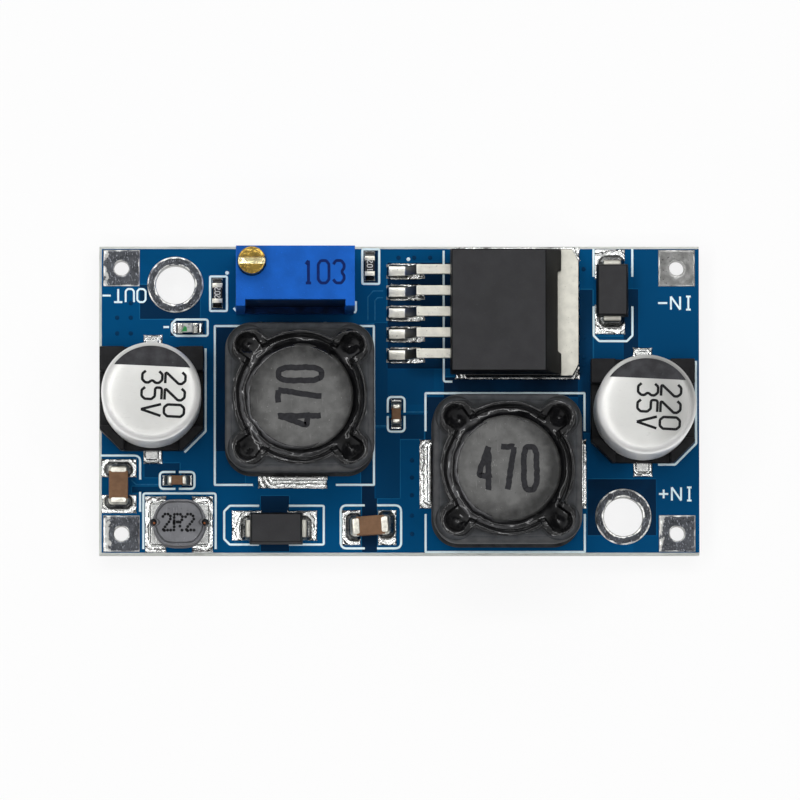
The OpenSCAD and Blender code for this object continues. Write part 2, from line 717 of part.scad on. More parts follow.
module diode_lead_solids() both_ends() across(diode_lead_w) {
    outer = diode_l / 2 + diode_lead_out;
    polygon([
        [diode_l / 2 - diode_lead_under, 0], [outer, 0], [outer, diode_lead_z + diode_lead_t],
        [diode_l / 2 - diode_lead_t, diode_lead_z + diode_lead_t], [diode_l / 2 - diode_lead_t, diode_lead_z],
        [outer - diode_lead_t, diode_lead_z], [outer - diode_lead_t, diode_lead_t],
        [diode_l / 2 - diode_lead_under, diode_lead_t]
    ]);
}

// Outline of a moulding that draws in above and below its parting line
function drafted(half, top) = [
    [-half + diode_draft, diode_lead_t], [half - diode_draft, diode_lead_t], [half, diode_lead_z],
    [half - diode_draft, top], [-half + diode_draft, top], [-half, diode_lead_z]
];

module diode_body() difference() {
    intersection() {
        across(diode_w + cut) polygon(drafted(diode_l / 2, diode_h));
        rotate(90) across(diode_l + cut) polygon(drafted(diode_w / 2, diode_h));
    }
    diode_lead_solids();
}

module rear_diode_body() color("#2b2c2f") on_land(rear_diode_at, 90) diode_body();
module rear_diode_leads() color("#c4c7ca") on_land(rear_diode_at, 90) diode_lead_solids();
module front_diode_body() color("#2b2c2f") on_land(front_diode_at) diode_body();
module front_diode_leads() color("#c4c7ca") on_land(front_diode_at) diode_lead_solids();

// Chip parts: a body along X with a metal cap over each end

module chip_core(size) translate([0, 0, cap_t]) plate([size[0] - 2 * cap_t, size[1] - 2 * cap_t, size[2] - 2 * cap_t]);

module chip_caps(size, wrap) difference() {
    both_ends() translate([(size[0] - wrap) / 2, 0, 0]) plate([wrap, size[1], size[2]]);
    chip_core(size);
}

module chip_body(c) on_land(c[0], c[1]) chip_core(c[2]);
module chip_ends(c, wrap) on_land(c[0], c[1]) chip_caps(c[2], wrap);

// Coat on a resistor's top, between its ends
module chip_coat(c, wrap) on_land(c[0], c[1]) translate([0, 0, c[2][2] - cap_t])
    plate([c[2][0] - 2 * wrap, c[2][1] - 2 * cap_t, cap_t]);

module left_chip_capacitor_body() color("#8a6a52") chip_body(left_chip);
module left_chip_capacitor_ends() color("#c8ccce") chip_ends(left_chip, big_wrap);
module front_chip_capacitor_body() color("#8a6a52") chip_body(front_chip);
module front_chip_capacitor_ends() color("#c8ccce") chip_ends(front_chip, big_wrap);
module left_bypass_capacitor_body() color("#8a6a52") chip_body(left_bypass);
module left_bypass_capacitor_ends() color("#c8ccce") chip_ends(left_bypass, small_wrap);
module centre_bypass_capacitor_body() color("#8a6a52") chip_body(centre_bypass);
module centre_bypass_capacitor_ends() color("#c8ccce") chip_ends(centre_bypass, small_wrap);
module left_resistor_body() color("#e8e8e4") chip_body(left_resistor);
module left_resistor_coat() color("#18181a") chip_coat(left_resistor, small_wrap);
module left_resistor_ends() color("#c8ccce") chip_ends(left_resistor, small_wrap);
module centre_resistor_body() color("#e8e8e4") chip_body(centre_resistor);
module centre_resistor_coat() color("#18181a") chip_coat(centre_resistor, small_wrap);
module centre_resistor_ends() color("#c8ccce") chip_ends(centre_resistor, small_wrap);

// Indicator: a small light on a thin base, with a clear moulding between its end metal

indicator_base_t = 0.28;
indicator_draft = 0.06;
indicator_low = [small_chip_l, small_chip_w, indicator_base_t];
module indicator_base() color("#dfe6dc") on_land(indicator[0]) chip_core(indicator_low);
module indicator_ends() color("#c9b37a") on_land(indicator[0]) chip_caps(indicator_low, small_wrap);
module indicator_lens() color("#e8efe8") on_land(indicator[0]) translate([0, 0, indicator_base_t - cap_t]) {
    half = small_chip_l / 2 - small_wrap;
    lens_h = indicator_h - indicator_base_t + cap_t;
    across(small_chip_w - 2 * cap_t) polygon([
        [-half, 0], [half, 0], [half - indicator_draft, lens_h], [-half + indicator_draft, lens_h]
    ]);
}

// Filter coil: an open drum with flats, notched at its ends for the wire

drum_terminal_t = 0.3;
drum_flange_t = 0.75;
drum_post_d = 2;
drum_wire_d = 0.34;
drum_wire_x = drum_top_d / 2 - 0.175;
drum_notch_d = 0.7;
drum_winding_d = drum_top_d - 0.55;
drum_terminal = [1.3, drum_w - 0.8];
drum_terminal_past = 0.1;

// Flange with two flats and a notch for the wire at each end
module drum_flange(d) difference() {
    intersection() {
        circle(d = d);
        square([d, drum_w], center = true);
    }
    both_ends() {
        translate([drum_wire_x, 0]) circle(d = drum_notch_d);
        translate([drum_wire_x, -drum_notch_d / 2]) square([drum_l, drum_notch_d]);
    }
}

module filter_coil_core() color("#6e6f73") on_land(drum_at) {
    translate([0, 0, drum_terminal_t]) linear_extrude(drum_flange_t) drum_flange(drum_l);
    translate([0, 0, drum_terminal_t]) cylinder(d = drum_post_d, h = drum_h - drum_terminal_t - drum_flange_t / 2);
    translate([0, 0, drum_h - drum_flange_t]) linear_extrude(drum_flange_t) drum_flange(drum_top_d);
}

module filter_coil_winding() color("#b0623a") on_land(drum_at) {
    low = drum_terminal_t + drum_flange_t;
    translate([0, 0, low]) linear_extrude(drum_h - drum_flange_t - low) difference() {
        circle(d = drum_winding_d);
        circle(d = drum_post_d);
    }
    both_ends() translate([drum_wire_x, 0, drum_terminal_t])
        cylinder(d = drum_wire_d, h = drum_h - drum_terminal_t - drum_flange_t / 2);
}

module filter_coil_terminals() color("#c4c7ca") on_land(drum_at) both_ends()
    translate([drum_l / 2 - drum_terminal[0] / 2 + drum_terminal_past, 0, 0])
        plate([drum_terminal[0], drum_terminal[1], drum_terminal_t]);

// Solder: a fillet from each land up the metal that stands on it

module end_fillets(half, height, width, solder) both_ends() translate([half, 0, 0])
    fillet(solder[0], solder[1] * height, width);

module chip_fillets(c, solder) on_land(c[0], c[1]) end_fillets(c[2][0] / 2, c[2][2], c[2][1], solder);

// How far the solder runs out, and the share of the metal's height that it climbs
big_solder = [0.52, 0.6];
small_solder = [0.34, 0.7];
coil_solder = [0.36, 0.7];
can_solder = [0.34, 0.9];
diode_solder = [0.85, 0.6];
drum_solder = [0.42, 0.9];
foot_solder = [0.14, 0.8];

module solder_fillets() color("#b4b8ba") {
    for (c = [left_chip, front_chip]) chip_fillets(c, big_solder);
    for (c = [left_bypass, centre_bypass, left_resistor, centre_resistor]) chip_fillets(c, small_solder);
    on_land(indicator[0]) end_fillets(small_chip_l / 2, indicator_base_t, small_chip_w, small_solder);
    for (at = [[left_coil_at, 90], [right_coil_at, 0]]) on_land(at[0], at[1])
        end_fillets(coil_size / 2 + coil_terminal_t, coil_terminal_lip, coil_terminal_w, coil_solder);
    for (p = [left_can_at, right_can_at]) on_land(p, 90) end_fillets(can_lead_outer, can_lead_t, can_lead_w, can_solder);
    for (at = [[rear_diode_at, 90], [front_diode_at, 0]]) on_land(at[0], at[1])
        end_fillets(diode_l / 2 + diode_lead_out, diode_lead_z, diode_lead_w, diode_solder);
    on_land(drum_at) end_fillets(drum_l / 2 + drum_terminal_past, drum_terminal_t, drum_terminal[1], drum_solder);
    on_land(reg_at) for (y = lead_rows) translate([lead_foot[0], y, 0])
        rotate(180) fillet(foot_solder[0], foot_solder[1] * lead_t, lead_w);
}

board();
wire_pads();
mounting_rings();
trimmer_pads();
component_lands();
legend();
solder_fillets();
trimmer_housing();
trimmer_screw();
trimmer_wiper();
trimmer_element();
trimmer_potting();
trimmer_pins();
trimmer_pin_solder();
regulator_body();
regulator_tab();
regulator_leads();
left_inductor_shield();
left_inductor_core();
left_inductor_winding();
left_inductor_glue();
left_inductor_terminals();
right_inductor_shield();
right_inductor_core();
right_inductor_winding();
right_inductor_glue();
right_inductor_terminals();
left_capacitor_can();
left_capacitor_base();
left_capacitor_leads();
right_capacitor_can();
right_capacitor_base();
right_capacitor_leads();
rear_diode_body();
rear_diode_leads();
front_diode_body();
front_diode_leads();
left_chip_capacitor_body();
left_chip_capacitor_ends();
front_chip_capacitor_body();
front_chip_capacitor_ends();
left_bypass_capacitor_body();
left_bypass_capacitor_ends();
centre_bypass_capacitor_body();
centre_bypass_capacitor_ends();
left_resistor_body();
left_resistor_coat();
left_resistor_ends();
centre_resistor_body();
centre_resistor_coat();
centre_resistor_ends();
indicator_base();
indicator_lens();
indicator_ends();
filter_coil_core();
filter_coil_winding();
filter_coil_terminals();
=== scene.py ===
"""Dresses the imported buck-boost converter module: mask, print, solder, ferrite, aluminium and plastics."""

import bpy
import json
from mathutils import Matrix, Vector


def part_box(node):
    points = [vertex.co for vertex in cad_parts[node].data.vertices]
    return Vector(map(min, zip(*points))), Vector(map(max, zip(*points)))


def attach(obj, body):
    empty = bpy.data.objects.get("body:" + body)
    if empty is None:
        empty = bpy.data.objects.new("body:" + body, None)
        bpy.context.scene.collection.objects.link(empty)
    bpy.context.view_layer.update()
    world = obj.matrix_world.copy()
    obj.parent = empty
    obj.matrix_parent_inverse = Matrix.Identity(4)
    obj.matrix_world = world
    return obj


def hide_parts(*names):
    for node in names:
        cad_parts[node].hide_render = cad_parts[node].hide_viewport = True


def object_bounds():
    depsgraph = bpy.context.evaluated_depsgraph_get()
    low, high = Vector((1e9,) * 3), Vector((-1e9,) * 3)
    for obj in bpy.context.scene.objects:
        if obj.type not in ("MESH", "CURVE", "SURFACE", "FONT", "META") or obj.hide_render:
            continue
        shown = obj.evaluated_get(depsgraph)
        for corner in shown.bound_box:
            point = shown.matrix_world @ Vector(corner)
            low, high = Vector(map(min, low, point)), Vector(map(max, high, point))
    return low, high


bl_info = {
    "name": "Converter module looks",
    "version": (1, 0, 0),
    "blender": (4, 5, 0),
    "location": "View3D > Sidebar > Module",
    "description": "Builds the visible finish of a buck-boost converter module on its packed solids",
    "category": "Object",
}

import json
import math

import bmesh
import bpy
import numpy as np
from mathutils import Matrix, Vector, noise

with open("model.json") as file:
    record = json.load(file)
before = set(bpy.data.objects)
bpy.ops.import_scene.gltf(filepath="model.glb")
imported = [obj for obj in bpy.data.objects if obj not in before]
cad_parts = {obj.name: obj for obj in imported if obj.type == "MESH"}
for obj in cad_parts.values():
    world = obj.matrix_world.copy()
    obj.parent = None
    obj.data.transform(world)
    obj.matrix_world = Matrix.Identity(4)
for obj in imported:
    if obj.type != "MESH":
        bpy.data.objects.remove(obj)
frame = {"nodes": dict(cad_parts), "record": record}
CAD_BOX = [list(corner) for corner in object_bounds()]
MM = 0.001
SLOT_OF = {row["node"]: row["material_slot"] for row in frame["record"]["subparts"]}


def linear(code):
    """Turns an sRGB hex value into linear red, green and blue."""
    parts = [int(code[i : i + 2], 16) / 255 for i in (1, 3, 5)]
    return tuple(p / 12.92 if p <= 0.04045 else ((p + 0.055) / 1.055) ** 2.4 for p in parts)


def colour_prop(name, words, code):
    """A colour that a user may change, given as sRGB hex."""
    return bpy.props.FloatVectorProperty(
        name=name, description=words, subtype="COLOR", size=3, min=0, max=1, default=linear(code)
    )


def size_prop(name, words, millimetres):
    """A length that a user may change, in metres with a length unit."""
    return bpy.props.FloatProperty(
        name=name, description=words, unit="LENGTH", subtype="DISTANCE", min=0, default=millimetres * MM
    )


class ModuleColours(bpy.types.PropertyGroup):
    """Colours of the module's finishes."""

    mask_copper: colour_prop("Mask over copper", "Blue mask where copper lies under it", "#044b7a")
    mask_bare: colour_prop("Mask over laminate", "Blue mask where no copper lies under it", "#0c223a")
    mask_rim: colour_prop("Mask at copper edge", "Thinner mask along the edge of the copper", "#1f6c98")
    laminate: colour_prop("Laminate", "Cut glass laminate on the scored edges", "#d2d5cf")
    ink: colour_prop("Legend ink", "White legend printed on the board", "#e4f8fe")
    trimmer: colour_prop("Trimmer plastic", "Blue moulded housing of the trimmer", "#165ebe")
    trimmer_ink: colour_prop("Trimmer print", "Print on the top of the trimmer", "#00205f")
    brass: colour_prop("Brass", "Turned brass of the adjusting screw", "#b0924a")
    moulding: colour_prop("Black moulding", "Moulded package of the regulator and diodes", "#333335")
    shield: colour_prop("Shield ferrite", "Pressed ferrite ring round an inductor", "#343639")
    core: colour_prop("Core ferrite", "Ground top of an inductor core", "#616160")
    can: colour_prop("Can aluminium", "Drawn aluminium of a capacitor can", "#d9d9d6")
    can_ink: colour_prop("Can print", "Dark print on a capacitor can", "#37373a")
    ceramic: colour_prop("Chip ceramic", "Fired body of a chip capacitor", "#79593f")
    drum: colour_prop("Drum ferrite", "Ground ferrite drum of the filter coil", "#6f7074")
    tin: colour_prop("Tin plating", "Matt tin on leads and tabs", "#d2d0c6")
    solder: colour_prop("Solder", "Reflowed solder", "#eeefed")
    pad: colour_prop("Levelled pad", "Dull solder levelled on the bare pads", "#8f8f8d")


class ModuleSizes(bpy.types.PropertyGroup):
    """Sizes of the module's fine detail."""

    mask_step: size_prop("Copper step", "How far mask over copper stands above bare laminate", 0.012)
    label_height: size_prop("Label height", "Height of the terminal labels", 1.06)
    legend_line: size_prop("Legend line", "Width of the printed outlines", 0.175)
    label_line: size_prop("Label stroke", "Stroke width of the terminal labels", 0.155)
    via_radius: size_prop("Via radius", "Radius of a mask-covered via", 0.19)
    moulding_edge: size_prop("Moulding edge", "Rounding on the edges of moulded packages", 0.12)
    lead_edge: size_prop("Lead edge", "Rounding on the edges of leads and terminals", 0.07)
    shield_edge: size_prop("Shield edge", "Rounding on the top edges of a ferrite shield", 0.55)
    glue_ridge: size_prop("Glue ridge", "Height of the ridge round the black glue", 0.09)
    can_rim: size_prop("Can rim", "Rounding at the top of a capacitor can", 0.62)
    can_crown: size_prop("Can crown", "How far the top of a can rises to its middle", 0.18)
    film: size_prop("Solder film", "Thickness of solder in the middle of a land", 0.06)
    core_mark: size_prop("Core mark", "Height of the value printed on an inductor core", 3.45)
    can_mark: size_prop("Can mark", "Height of the values printed on a can", 1.6)
    wire: size_prop("Coil wire", "Diameter of the filter coil's wire", 0.3)


def tone(name):
    """A colour for a shader socket: one of the panel's by its name, or an sRGB hex value."""
    parts = linear(name) if name.startswith("#") else getattr(bpy.context.scene.module_colours, name)
    return tuple(parts) + (1.0,)


def size(name):
    """A length of the panel in millimetres."""
    return getattr(bpy.context.scene.module_sizes, name) / MM


def add(tree, kind, inputs=None, **settings):
    """Adds a node, sets its properties, and gives each input a value or a link from a socket or node."""
    node = tree.nodes.new(kind)
    for key, value in settings.items():
        setattr(node, key, value)
    for key, value in (inputs or {}).items():
        if isinstance(value, bpy.types.Node):
            value = value.outputs[0]
        if isinstance(value, bpy.types.NodeSocket):
            tree.links.new(value, node.inputs[key])
        else:
            node.inputs[key].default_value = value
    return node


class Look:
    """A finish in the making: colour, gloss and relief are laid in turn on one Principled shader."""

    def __init__(self, name, colour, roughness, metallic=0.0, specular=0.5, sockets=None, reads=()):
        self.material = bpy.data.materials.new(name)
        self.material.use_nodes = True
        self.tree = self.material.node_tree
        self.shader = self.tree.nodes["Principled BSDF"].inputs
        self.colour = tone(colour)
        constants = {"Base Color": self.colour, "Roughness": roughness, "Metallic": metallic}
        constants["Specular IOR Level"] = specular
        for key, value in {**constants, **(sockets or {})}.items():
            self.shader[key].default_value = value
        # Numbers that a mesh stores on its points under a name
        self.stored = {}
        for key in reads:
            stored = add(self.tree, "ShaderNodeAttribute", attribute_name=key)
            self.stored[key] = stored.outputs["Fac"]

    def grain(self, across, detail=2.0, stretch=(1, 1, 1), turn=0.0):
        """Noise whose blotches are about across millimetres wide on the object."""
        place = add(self.tree, "ShaderNodeTexCoord").outputs["Object"]
        sockets = {"Vector": place, "Rotation": (0, 0, turn), "Scale": stretch}
        place = add(self.tree, "ShaderNodeMapping", sockets)
        sockets = {"Vector": place, "Scale": 1 / (across * MM), "Detail": detail}
        return add(self.tree, "ShaderNodeTexNoise", sockets).outputs["Fac"]

    def shade(self, given):
        """A colour from a name or hex value, from a factor on the finish's own colour, or from a socket."""
        if isinstance(given, bpy.types.NodeSocket):
            return given
        if isinstance(given, str):
            return tone(given)
        return tuple(min(1.0, c * given) for c in self.colour[:3]) + (1.0,)

    def under(self):
        """The base colour as laid so far."""
        return self.shader["Base Color"].links[0].from_socket

    def tint(self, value, low, high, start=0.35, end=0.65):
        """Runs the base colour from low to high as a pattern's value goes from start to end."""
        share = add(self.tree, "ShaderNodeMapRange", {"Value": value, "From Min": start, "From Max": end})
        sockets = {0: share, 6: self.shade(low), 7: self.shade(high)}
        mixed = add(self.tree, "ShaderNodeMix", sockets, data_type="RGBA").outputs[2]
        self.tree.links.new(mixed, self.shader["Base Color"])

    def overlay(self, value, colour, start=0.0, end=1.0):
        """Lays another colour over the base colour where a pattern's value rises from start to end."""
        self.tint(value, self.under(), colour, start, end)

    def gloss(self, value, low, high, start=0.35, end=0.65):
        """Runs the roughness from low to high with a pattern's value."""
        sockets = {"Value": value, "From Min": start, "From Max": end, "To Min": low, "To Max": high}
        share = add(self.tree, "ShaderNodeMapRange", sockets)
        self.tree.links.new(share.outputs[0], self.shader["Roughness"])

    def relief(self, value, depth):
        """Raises the surface by depth millimetres where a pattern's value is 1."""
        bump = add(self.tree, "ShaderNodeBump", {"Strength": 1.0, "Distance": depth * MM, "Height": value})
        self.tree.links.new(bump.outputs[0], self.shader["Normal"])


def solder_mask():
    """Cured blue mask: deep gloss, lighter and greener where copper lies under it."""
    look = Look("solder_mask", "mask_copper", 0.3, specular=0.02, reads=["copper"])
    # The copper value also carries painted shade on the right side of the board
    look.tint(look.stored["copper"], "mask_bare", 1.0, 0.0, 1.0)
    look.overlay(look.stored["copper"], "mask_rim", 1.05, 1.4)
    look.overlay(look.grain(5.0, 4.0), 0.72, 0.5, 0.95)
    look.relief(look.grain(0.5, 3.0), 0.004)
    return look


def laminate_board():
    """Glass laminate: blue mask on its two faces, pale fibre on every cut edge."""
    look = Look("glass_laminate", "laminate", 0.5)
    look.tint(look.grain(0.25, 3.0, (0.15, 0.15, 1)), 1.0, 0.72, 0.45, 0.75)
    normal = add(look.tree, "ShaderNodeNewGeometry").outputs["Normal"]
    upright = add(look.tree, "ShaderNodeSeparateXYZ", {0: normal}).outputs["Z"]
    flat = add(look.tree, "ShaderNodeMath", {0: upright}, operation="ABSOLUTE")
    look.overlay(flat, "mask_copper", 0.9, 0.98)
    look.gloss(flat, 0.6, 0.3, 0.9, 0.98)
    return look


def levelled_pad():
    """Hot-levelled solder on a bare pad: dull grey with pits and scuffs, a painted highlight along its rim
    and throat, and bright tin on wire pads.
    """
    look = Look("levelled_solder", "pad", 0.34, 1.0, reads=["dull", "rim"])
    look.tint(look.grain(0.8, 4.0), 0.75, 1.2, 0.38, 0.62)
    sockets = {0: look.grain(0.13, 1.0, (1, 0.5, 1), 0.75), 1: look.stored["dull"]}
    scuffs = add(look.tree, "ShaderNodeMath", sockets, operation="MULTIPLY")
    look.overlay(scuffs, 3.0, 0.52, 0.62)
    look.overlay(look.grain(0.16, 1.0), 0.25, 0.66, 0.74)
    sockets = {0: 1.0, 6: look.under(), 7: tone("#7d828f")}
    darker = add(look.tree, "ShaderNodeMix", sockets, data_type="RGBA", blend_type="MULTIPLY")
    look.overlay(look.stored["dull"], darker.outputs[2])
    # Painted highlight along the rim and throat, joined by the bright tin of the wire pads
    sockets = {0: look.grain(0.6, 5.0), 1: 2.0, 2: look.stored["rim"]}
    thin = add(look.tree, "ShaderNodeMath", sockets, operation="MULTIPLY_ADD")
    look.overlay(thin, 1.9, 1.6, 1.72)
    look.overlay(thin, "solder", 1.92, 2.06)
    look.relief(look.grain(0.2, 3.0, (1, 0.5, 1), 0.75), 0.03)
    return look


# Solder's flow lines follow each other away from a terminal, about three to a millimetre and coarser than
# real ones, at this rate in radians for each millimetre; full unrest of the skin bends them this far
FLOW_RATE, FLOW_BEND = 17.0, 16.0
# How high solder swells and how steep its flow lines stand on a still skin, and what full unrest adds
STILL_SWELL, UNREST_SWELL = 3.0, 3.0
STILL_STEEP, UNREST_STEEP = 2.6, -1.6


def reflowed_solder():
    """Reflowed solder: a liquid skin, white where it lies flat, with dark reflections painted in its
    wrinkles and on its slopes.
    """
    look = Look("reflowed_solder", "solder", 0.2, 1.0, reads=["fillet", "contour", "unrest"])
    frost = look.grain(0.5, 3.0)
    look.tint(frost, 0.92, 1.1, 0.35, 0.6)
    look.gloss(frost, 0.3, 0.18)
    made = dict(look.stored)
    for name, operation, *given in (
        ("bend", "MULTIPLY", "unrest", FLOW_BEND),
        ("swirl", "MULTIPLY", look.grain(0.9, 3.0), "bend"),
        ("phase", "MULTIPLY_ADD", "contour", FLOW_RATE, "swirl"),
        ("wave", "SINE", "phase"),
        ("lines", "SUBTRACT", "wave", "fillet"),
        ("swell", "MULTIPLY_ADD", "unrest", UNREST_SWELL, STILL_SWELL),
        ("steep", "MULTIPLY_ADD", "unrest", UNREST_STEEP, STILL_STEEP),
        ("ridges", "MULTIPLY", "wave", "steep"),
        ("rolling", "MULTIPLY_ADD", look.grain(0.32, 3.0), "swell", "ridges"),
        ("flat", "SUBTRACT", 1.0, "fillet"),
        ("bumps", "MULTIPLY", "rolling", "flat"),
    ):
        sockets = {i: made[value] if isinstance(value, str) else value for i, value in enumerate(given)}
        made[name] = add(look.tree, "ShaderNodeMath", sockets, operation=operation)
    # Painted dark reflections along the flow lines and over the meniscus
    look.overlay(made["lines"], 0.06, 0.7, 0.9)
    look.overlay(made["fillet"], 0.12, 0.3, 0.95)
    look.relief(made["bumps"], 0.012)
    return look


def matt_tin(name="matt_tin_plating", rough=0.48, bright=1.0):
    """Matt tin plating: creamy silver with dark specks, brown where a lead slopes from the light."""
    look = Look(name, "tin", rough, 1.0, reads=["rise"])
    look.tint(look.grain(0.7, 3.0), 0.86 * bright, bright)
    look.overlay(look.grain(0.14, 1.0), 0.45, 0.7, 0.8)
    look.overlay(look.stored["rise"], "#2e2a22")
    look.relief(look.grain(0.18), 0.006)
    return look


def legend_ink():
    """Screen-printed epoxy ink: flat white, a little thin in places."""
    look = Look("legend_ink", "ink", 0.6)
    look.tint(look.grain(0.4, 3.0), 0.92, 1.0, 0.3, 0.5)
    look.relief(look.grain(0.12), 0.004)
    return look


def moulded_blue():
    """Blue moulded plastic of the trimmer: even satin with a fine spark-eroded grain."""
    look = Look("moulded_blue_plastic", "trimmer", 0.45, specular=0.08)
    look.tint(look.grain(1.6, 4.0), 0.88, 1.08)
    look.overlay(look.grain(0.1, 1.0), 1.7, 0.72, 0.82)
    look.relief(look.grain(0.12), 0.01)
    return look


def potting_resin():
    """Blue potting resin in the trimmer's open front: cloudy satin, darkened as painted shade."""
    look = Look("shaded_blue_potting_resin", "trimmer", 0.4, specular=0.1)
    # The dark colour is painted shade of the recess
    look.tint(look.grain(0.8), 0.13, 0.27)
    return look


def turned_brass():
    """Turned brass: a warm mirror with soft dents, pale on the floor of its milled slot."""
    look = Look("turned_brass", "brass", 0.2, 1.0, reads=["milled"])
    look.tint(look.grain(0.6, 3.0), 0.6, 1.0, 0.36, 0.58)
    look.overlay(look.stored["milled"], "#f4e6b4", 0.4, 0.9)
    look.relief(look.grain(0.7, 3.0), 0.12)
    return look


def pale_plastic():
    """Pale nylon of the wiper carrier: dull and slightly cloudy."""
    look = Look("pale_nylon", "#d9d4c4", 0.5)
    look.tint(look.grain(0.6), "#cfc9b6", "#dfdbcd")
    return look


def fired_alumina():
    """Fired alumina: bone-white ceramic with a fine tooth."""
    look = Look("fired_alumina", "#e4e2da", 0.55)
    look.tint(look.grain(0.3), "#d8d5cb", "#ebe9e2")
    look.relief(look.grain(0.1), 0.004)
    return look


def black_moulding():
    """Transfer-moulded epoxy: charcoal and dull on its etched top, with painted shade that makes its sides
    blacker.
    """
    look = Look("moulded_epoxy", "moulding", 0.55, specular=0.15)
    look.tint(look.grain(1.4, 4.0), 0.9, 1.08)
    look.overlay(look.grain(0.12, 1.0), 1.5, 0.7, 0.84)
    # Painted shade: faces that turn away from upright are made blacker
    normal = add(look.tree, "ShaderNodeNewGeometry").outputs["Normal"]
    upright = add(look.tree, "ShaderNodeSeparateXYZ", {0: normal}).outputs["Z"]
    look.tint(upright, 0.15, look.under(), 0.86, 0.99)
    look.relief(look.grain(0.16), 0.008)
    return look


def pressed_ferrite():
    """Pressed and fired ferrite: near-black brown grey, a little paler along its rounded edges, with painted
    shade on its rear.
    """
    look = Look("pressed_ferrite", "shield", 0.6, specular=0.2, reads=["paleness_and_shade"])
    look.tint(look.grain(1.1, 4.0), 0.8, 1.15)
    look.overlay(look.grain(0.2), 1.7, 0.68, 0.84)
    # This value is paler towards the rounded edges and lower at the rear, as painted shade
    sockets = {0: look.grain(0.8, 4.0), 1: look.stored["paleness_and_shade"]}
    pale_and_shade_level = add(look.tree, "ShaderNodeMath", sockets, operation="ADD")
    look.overlay(pale_and_shade_level, "#565657", 0.85, 1.6)
    look.overlay(pale_and_shade_level, 0.35, 0.85, 0.35)
    look.relief(look.grain(0.4, 3.0), 0.03)
    return look


def ground_ferrite(name="ground_ferrite", colour="core"):
    """Ground ferrite: mid grey, smeared and mottled, with a few fine grinding scratches."""
    look = Look(name, colour, 0.5, specular=0.3, reads=["smeared"])
    look.tint(look.grain(1.2, 5.0), 0.78, 1.12, 0.36, 0.6)
    look.overlay(look.grain(0.1, 1.0, (1, 0.12, 1), 0.5), 1.35, 0.68, 0.78)
    look.overlay(look.grain(0.14, 1.0), 0.5, 0.68, 0.8)
    look.overlay(look.grain(0.12, 1.0, turn=0.9), 2.6, 0.74, 0.8)
    sockets = {0: look.grain(0.9, 5.0), 1: look.stored["smeared"]}
    ragged = add(look.tree, "ShaderNodeMath", sockets, operation="ADD")
    look.overlay(ragged, 0.16, 0.72, 1.55)
    look.relief(look.grain(0.25, 3.0), 0.012)
    return look


def enamelled_copper():
    """Enamelled copper wire: warm metal under a clear glossy coat."""
    look = Look("enamelled_copper", "#b8663c", 0.3, 1.0, sockets={"Coat Weight": 0.6})
    look.tint(look.grain(0.3), 0.75, 1.0)
    return look


def black_glue():
    """Black filling glue: wet-looking, with a grey sheen painted along its flow ridges."""
    look = Look("black_epoxy_glue", "#0b0b0c", 0.11, reads=["painted_sheen"])
    look.tint(look.grain(0.8), "#080809", "#131315")
    # Painted sheen: lighter grey along the flow ridges
    look.overlay(look.stored["painted_sheen"], "#4c4c4e", 0.35, 0.95)
    look.relief(look.grain(0.9), 0.05)
    return look


def drawn_aluminium():
    """Drawn aluminium: bright satin with faint draw marks, a painted highlight on its rounded edge, and
    painted shade on one can.
    """
    look = Look("drawn_aluminium", "can", 0.38, 0.5, reads=["dull", "rim_highlight"])
    look.tint(look.grain(2.4, 3.0), 0.94, 1.0)
    marks = look.grain(0.14, 2.0, (0.3, 1, 1), 0.3)
    look.overlay(marks, 0.86, 0.62, 0.8)
    # Painted shade on one side of a top, then a painted highlight on the rounded edge
    look.overlay(look.stored["dull"], 0.56)
    look.overlay(look.stored["rim_highlight"], "#fffffe")
    look.relief(marks, 0.002)
    return look


def can_print():
    """Dark pad print on a can: flat ink, thin enough that the metal mottles it."""
    look = Look("can_print_ink", "can_ink", 0.5, specular=0.15)
    look.tint(look.grain(0.9, 4.0), 0.7, 1.3)
    look.overlay(look.grain(0.14, 1.0), 2.0, 0.7, 0.82)
    return look


def black_plastic():
    """Black heat-resistant plastic under the cans: dull with a light grain."""
    look = Look("black_base_plastic", "#1a1a1c", 0.45, specular=0.15)
    look.tint(look.grain(0.8), 0.8, 1.3)
    look.relief(look.grain(0.15), 0.008)
    return look


def brown_ceramic():
    """Fired barium-titanate body: flat brown with dark pepper specks."""
    look = Look("fired_brown_ceramic", "ceramic", 0.5, specular=0.25)
    look.tint(look.grain(0.5, 4.0), 0.86, 1.1)
    look.overlay(look.grain(0.08, 1.0), 0.45, 0.68, 0.8)
    look.relief(look.grain(0.12), 0.006)
    return look


def plated_end():
    """Plated chip end: bright tin wetted by solder, with dull patches."""
    look = Look("plated_chip_end", "#eeebdf", 0.36, 1.0)
    look.tint(look.grain(0.4, 3.0), 0.7, 1.0, 0.36, 0.55)
    look.relief(look.grain(0.25), 0.015)
    return look


def black_glass():
    """Black glass coat of a chip resistor: thin and glossy."""
    look = Look("black_glass_coat", "#161517", 0.3)
    look.tint(look.grain(0.3), 0.8, 1.4)
    return look


def pale_laminate():
    """Pale resin base of the indicator: white with fine fibre."""
    look = Look("pale_resin_base", "#dcdcd2", 0.5)
    look.tint(look.grain(0.2, 3.0), 0.85, 1.0)
    return look


def clear_resin():
    """Clear moulded lens: water-white, with bright facets, and grey patches painted in its colour for shapes
    seen through it.
    """
    look = Look("clear_lens_resin", "#e9ebe6", 0.12, sockets={"Transmission Weight": 0.25, "IOR": 1.5})
    # Painted reflection: grey patches stand for shapes seen through the lens
    look.tint(look.grain(0.32), "#a6a9a4", 1.0, 0.3, 0.45)
    look.relief(look.grain(0.25), 0.03)
    return look


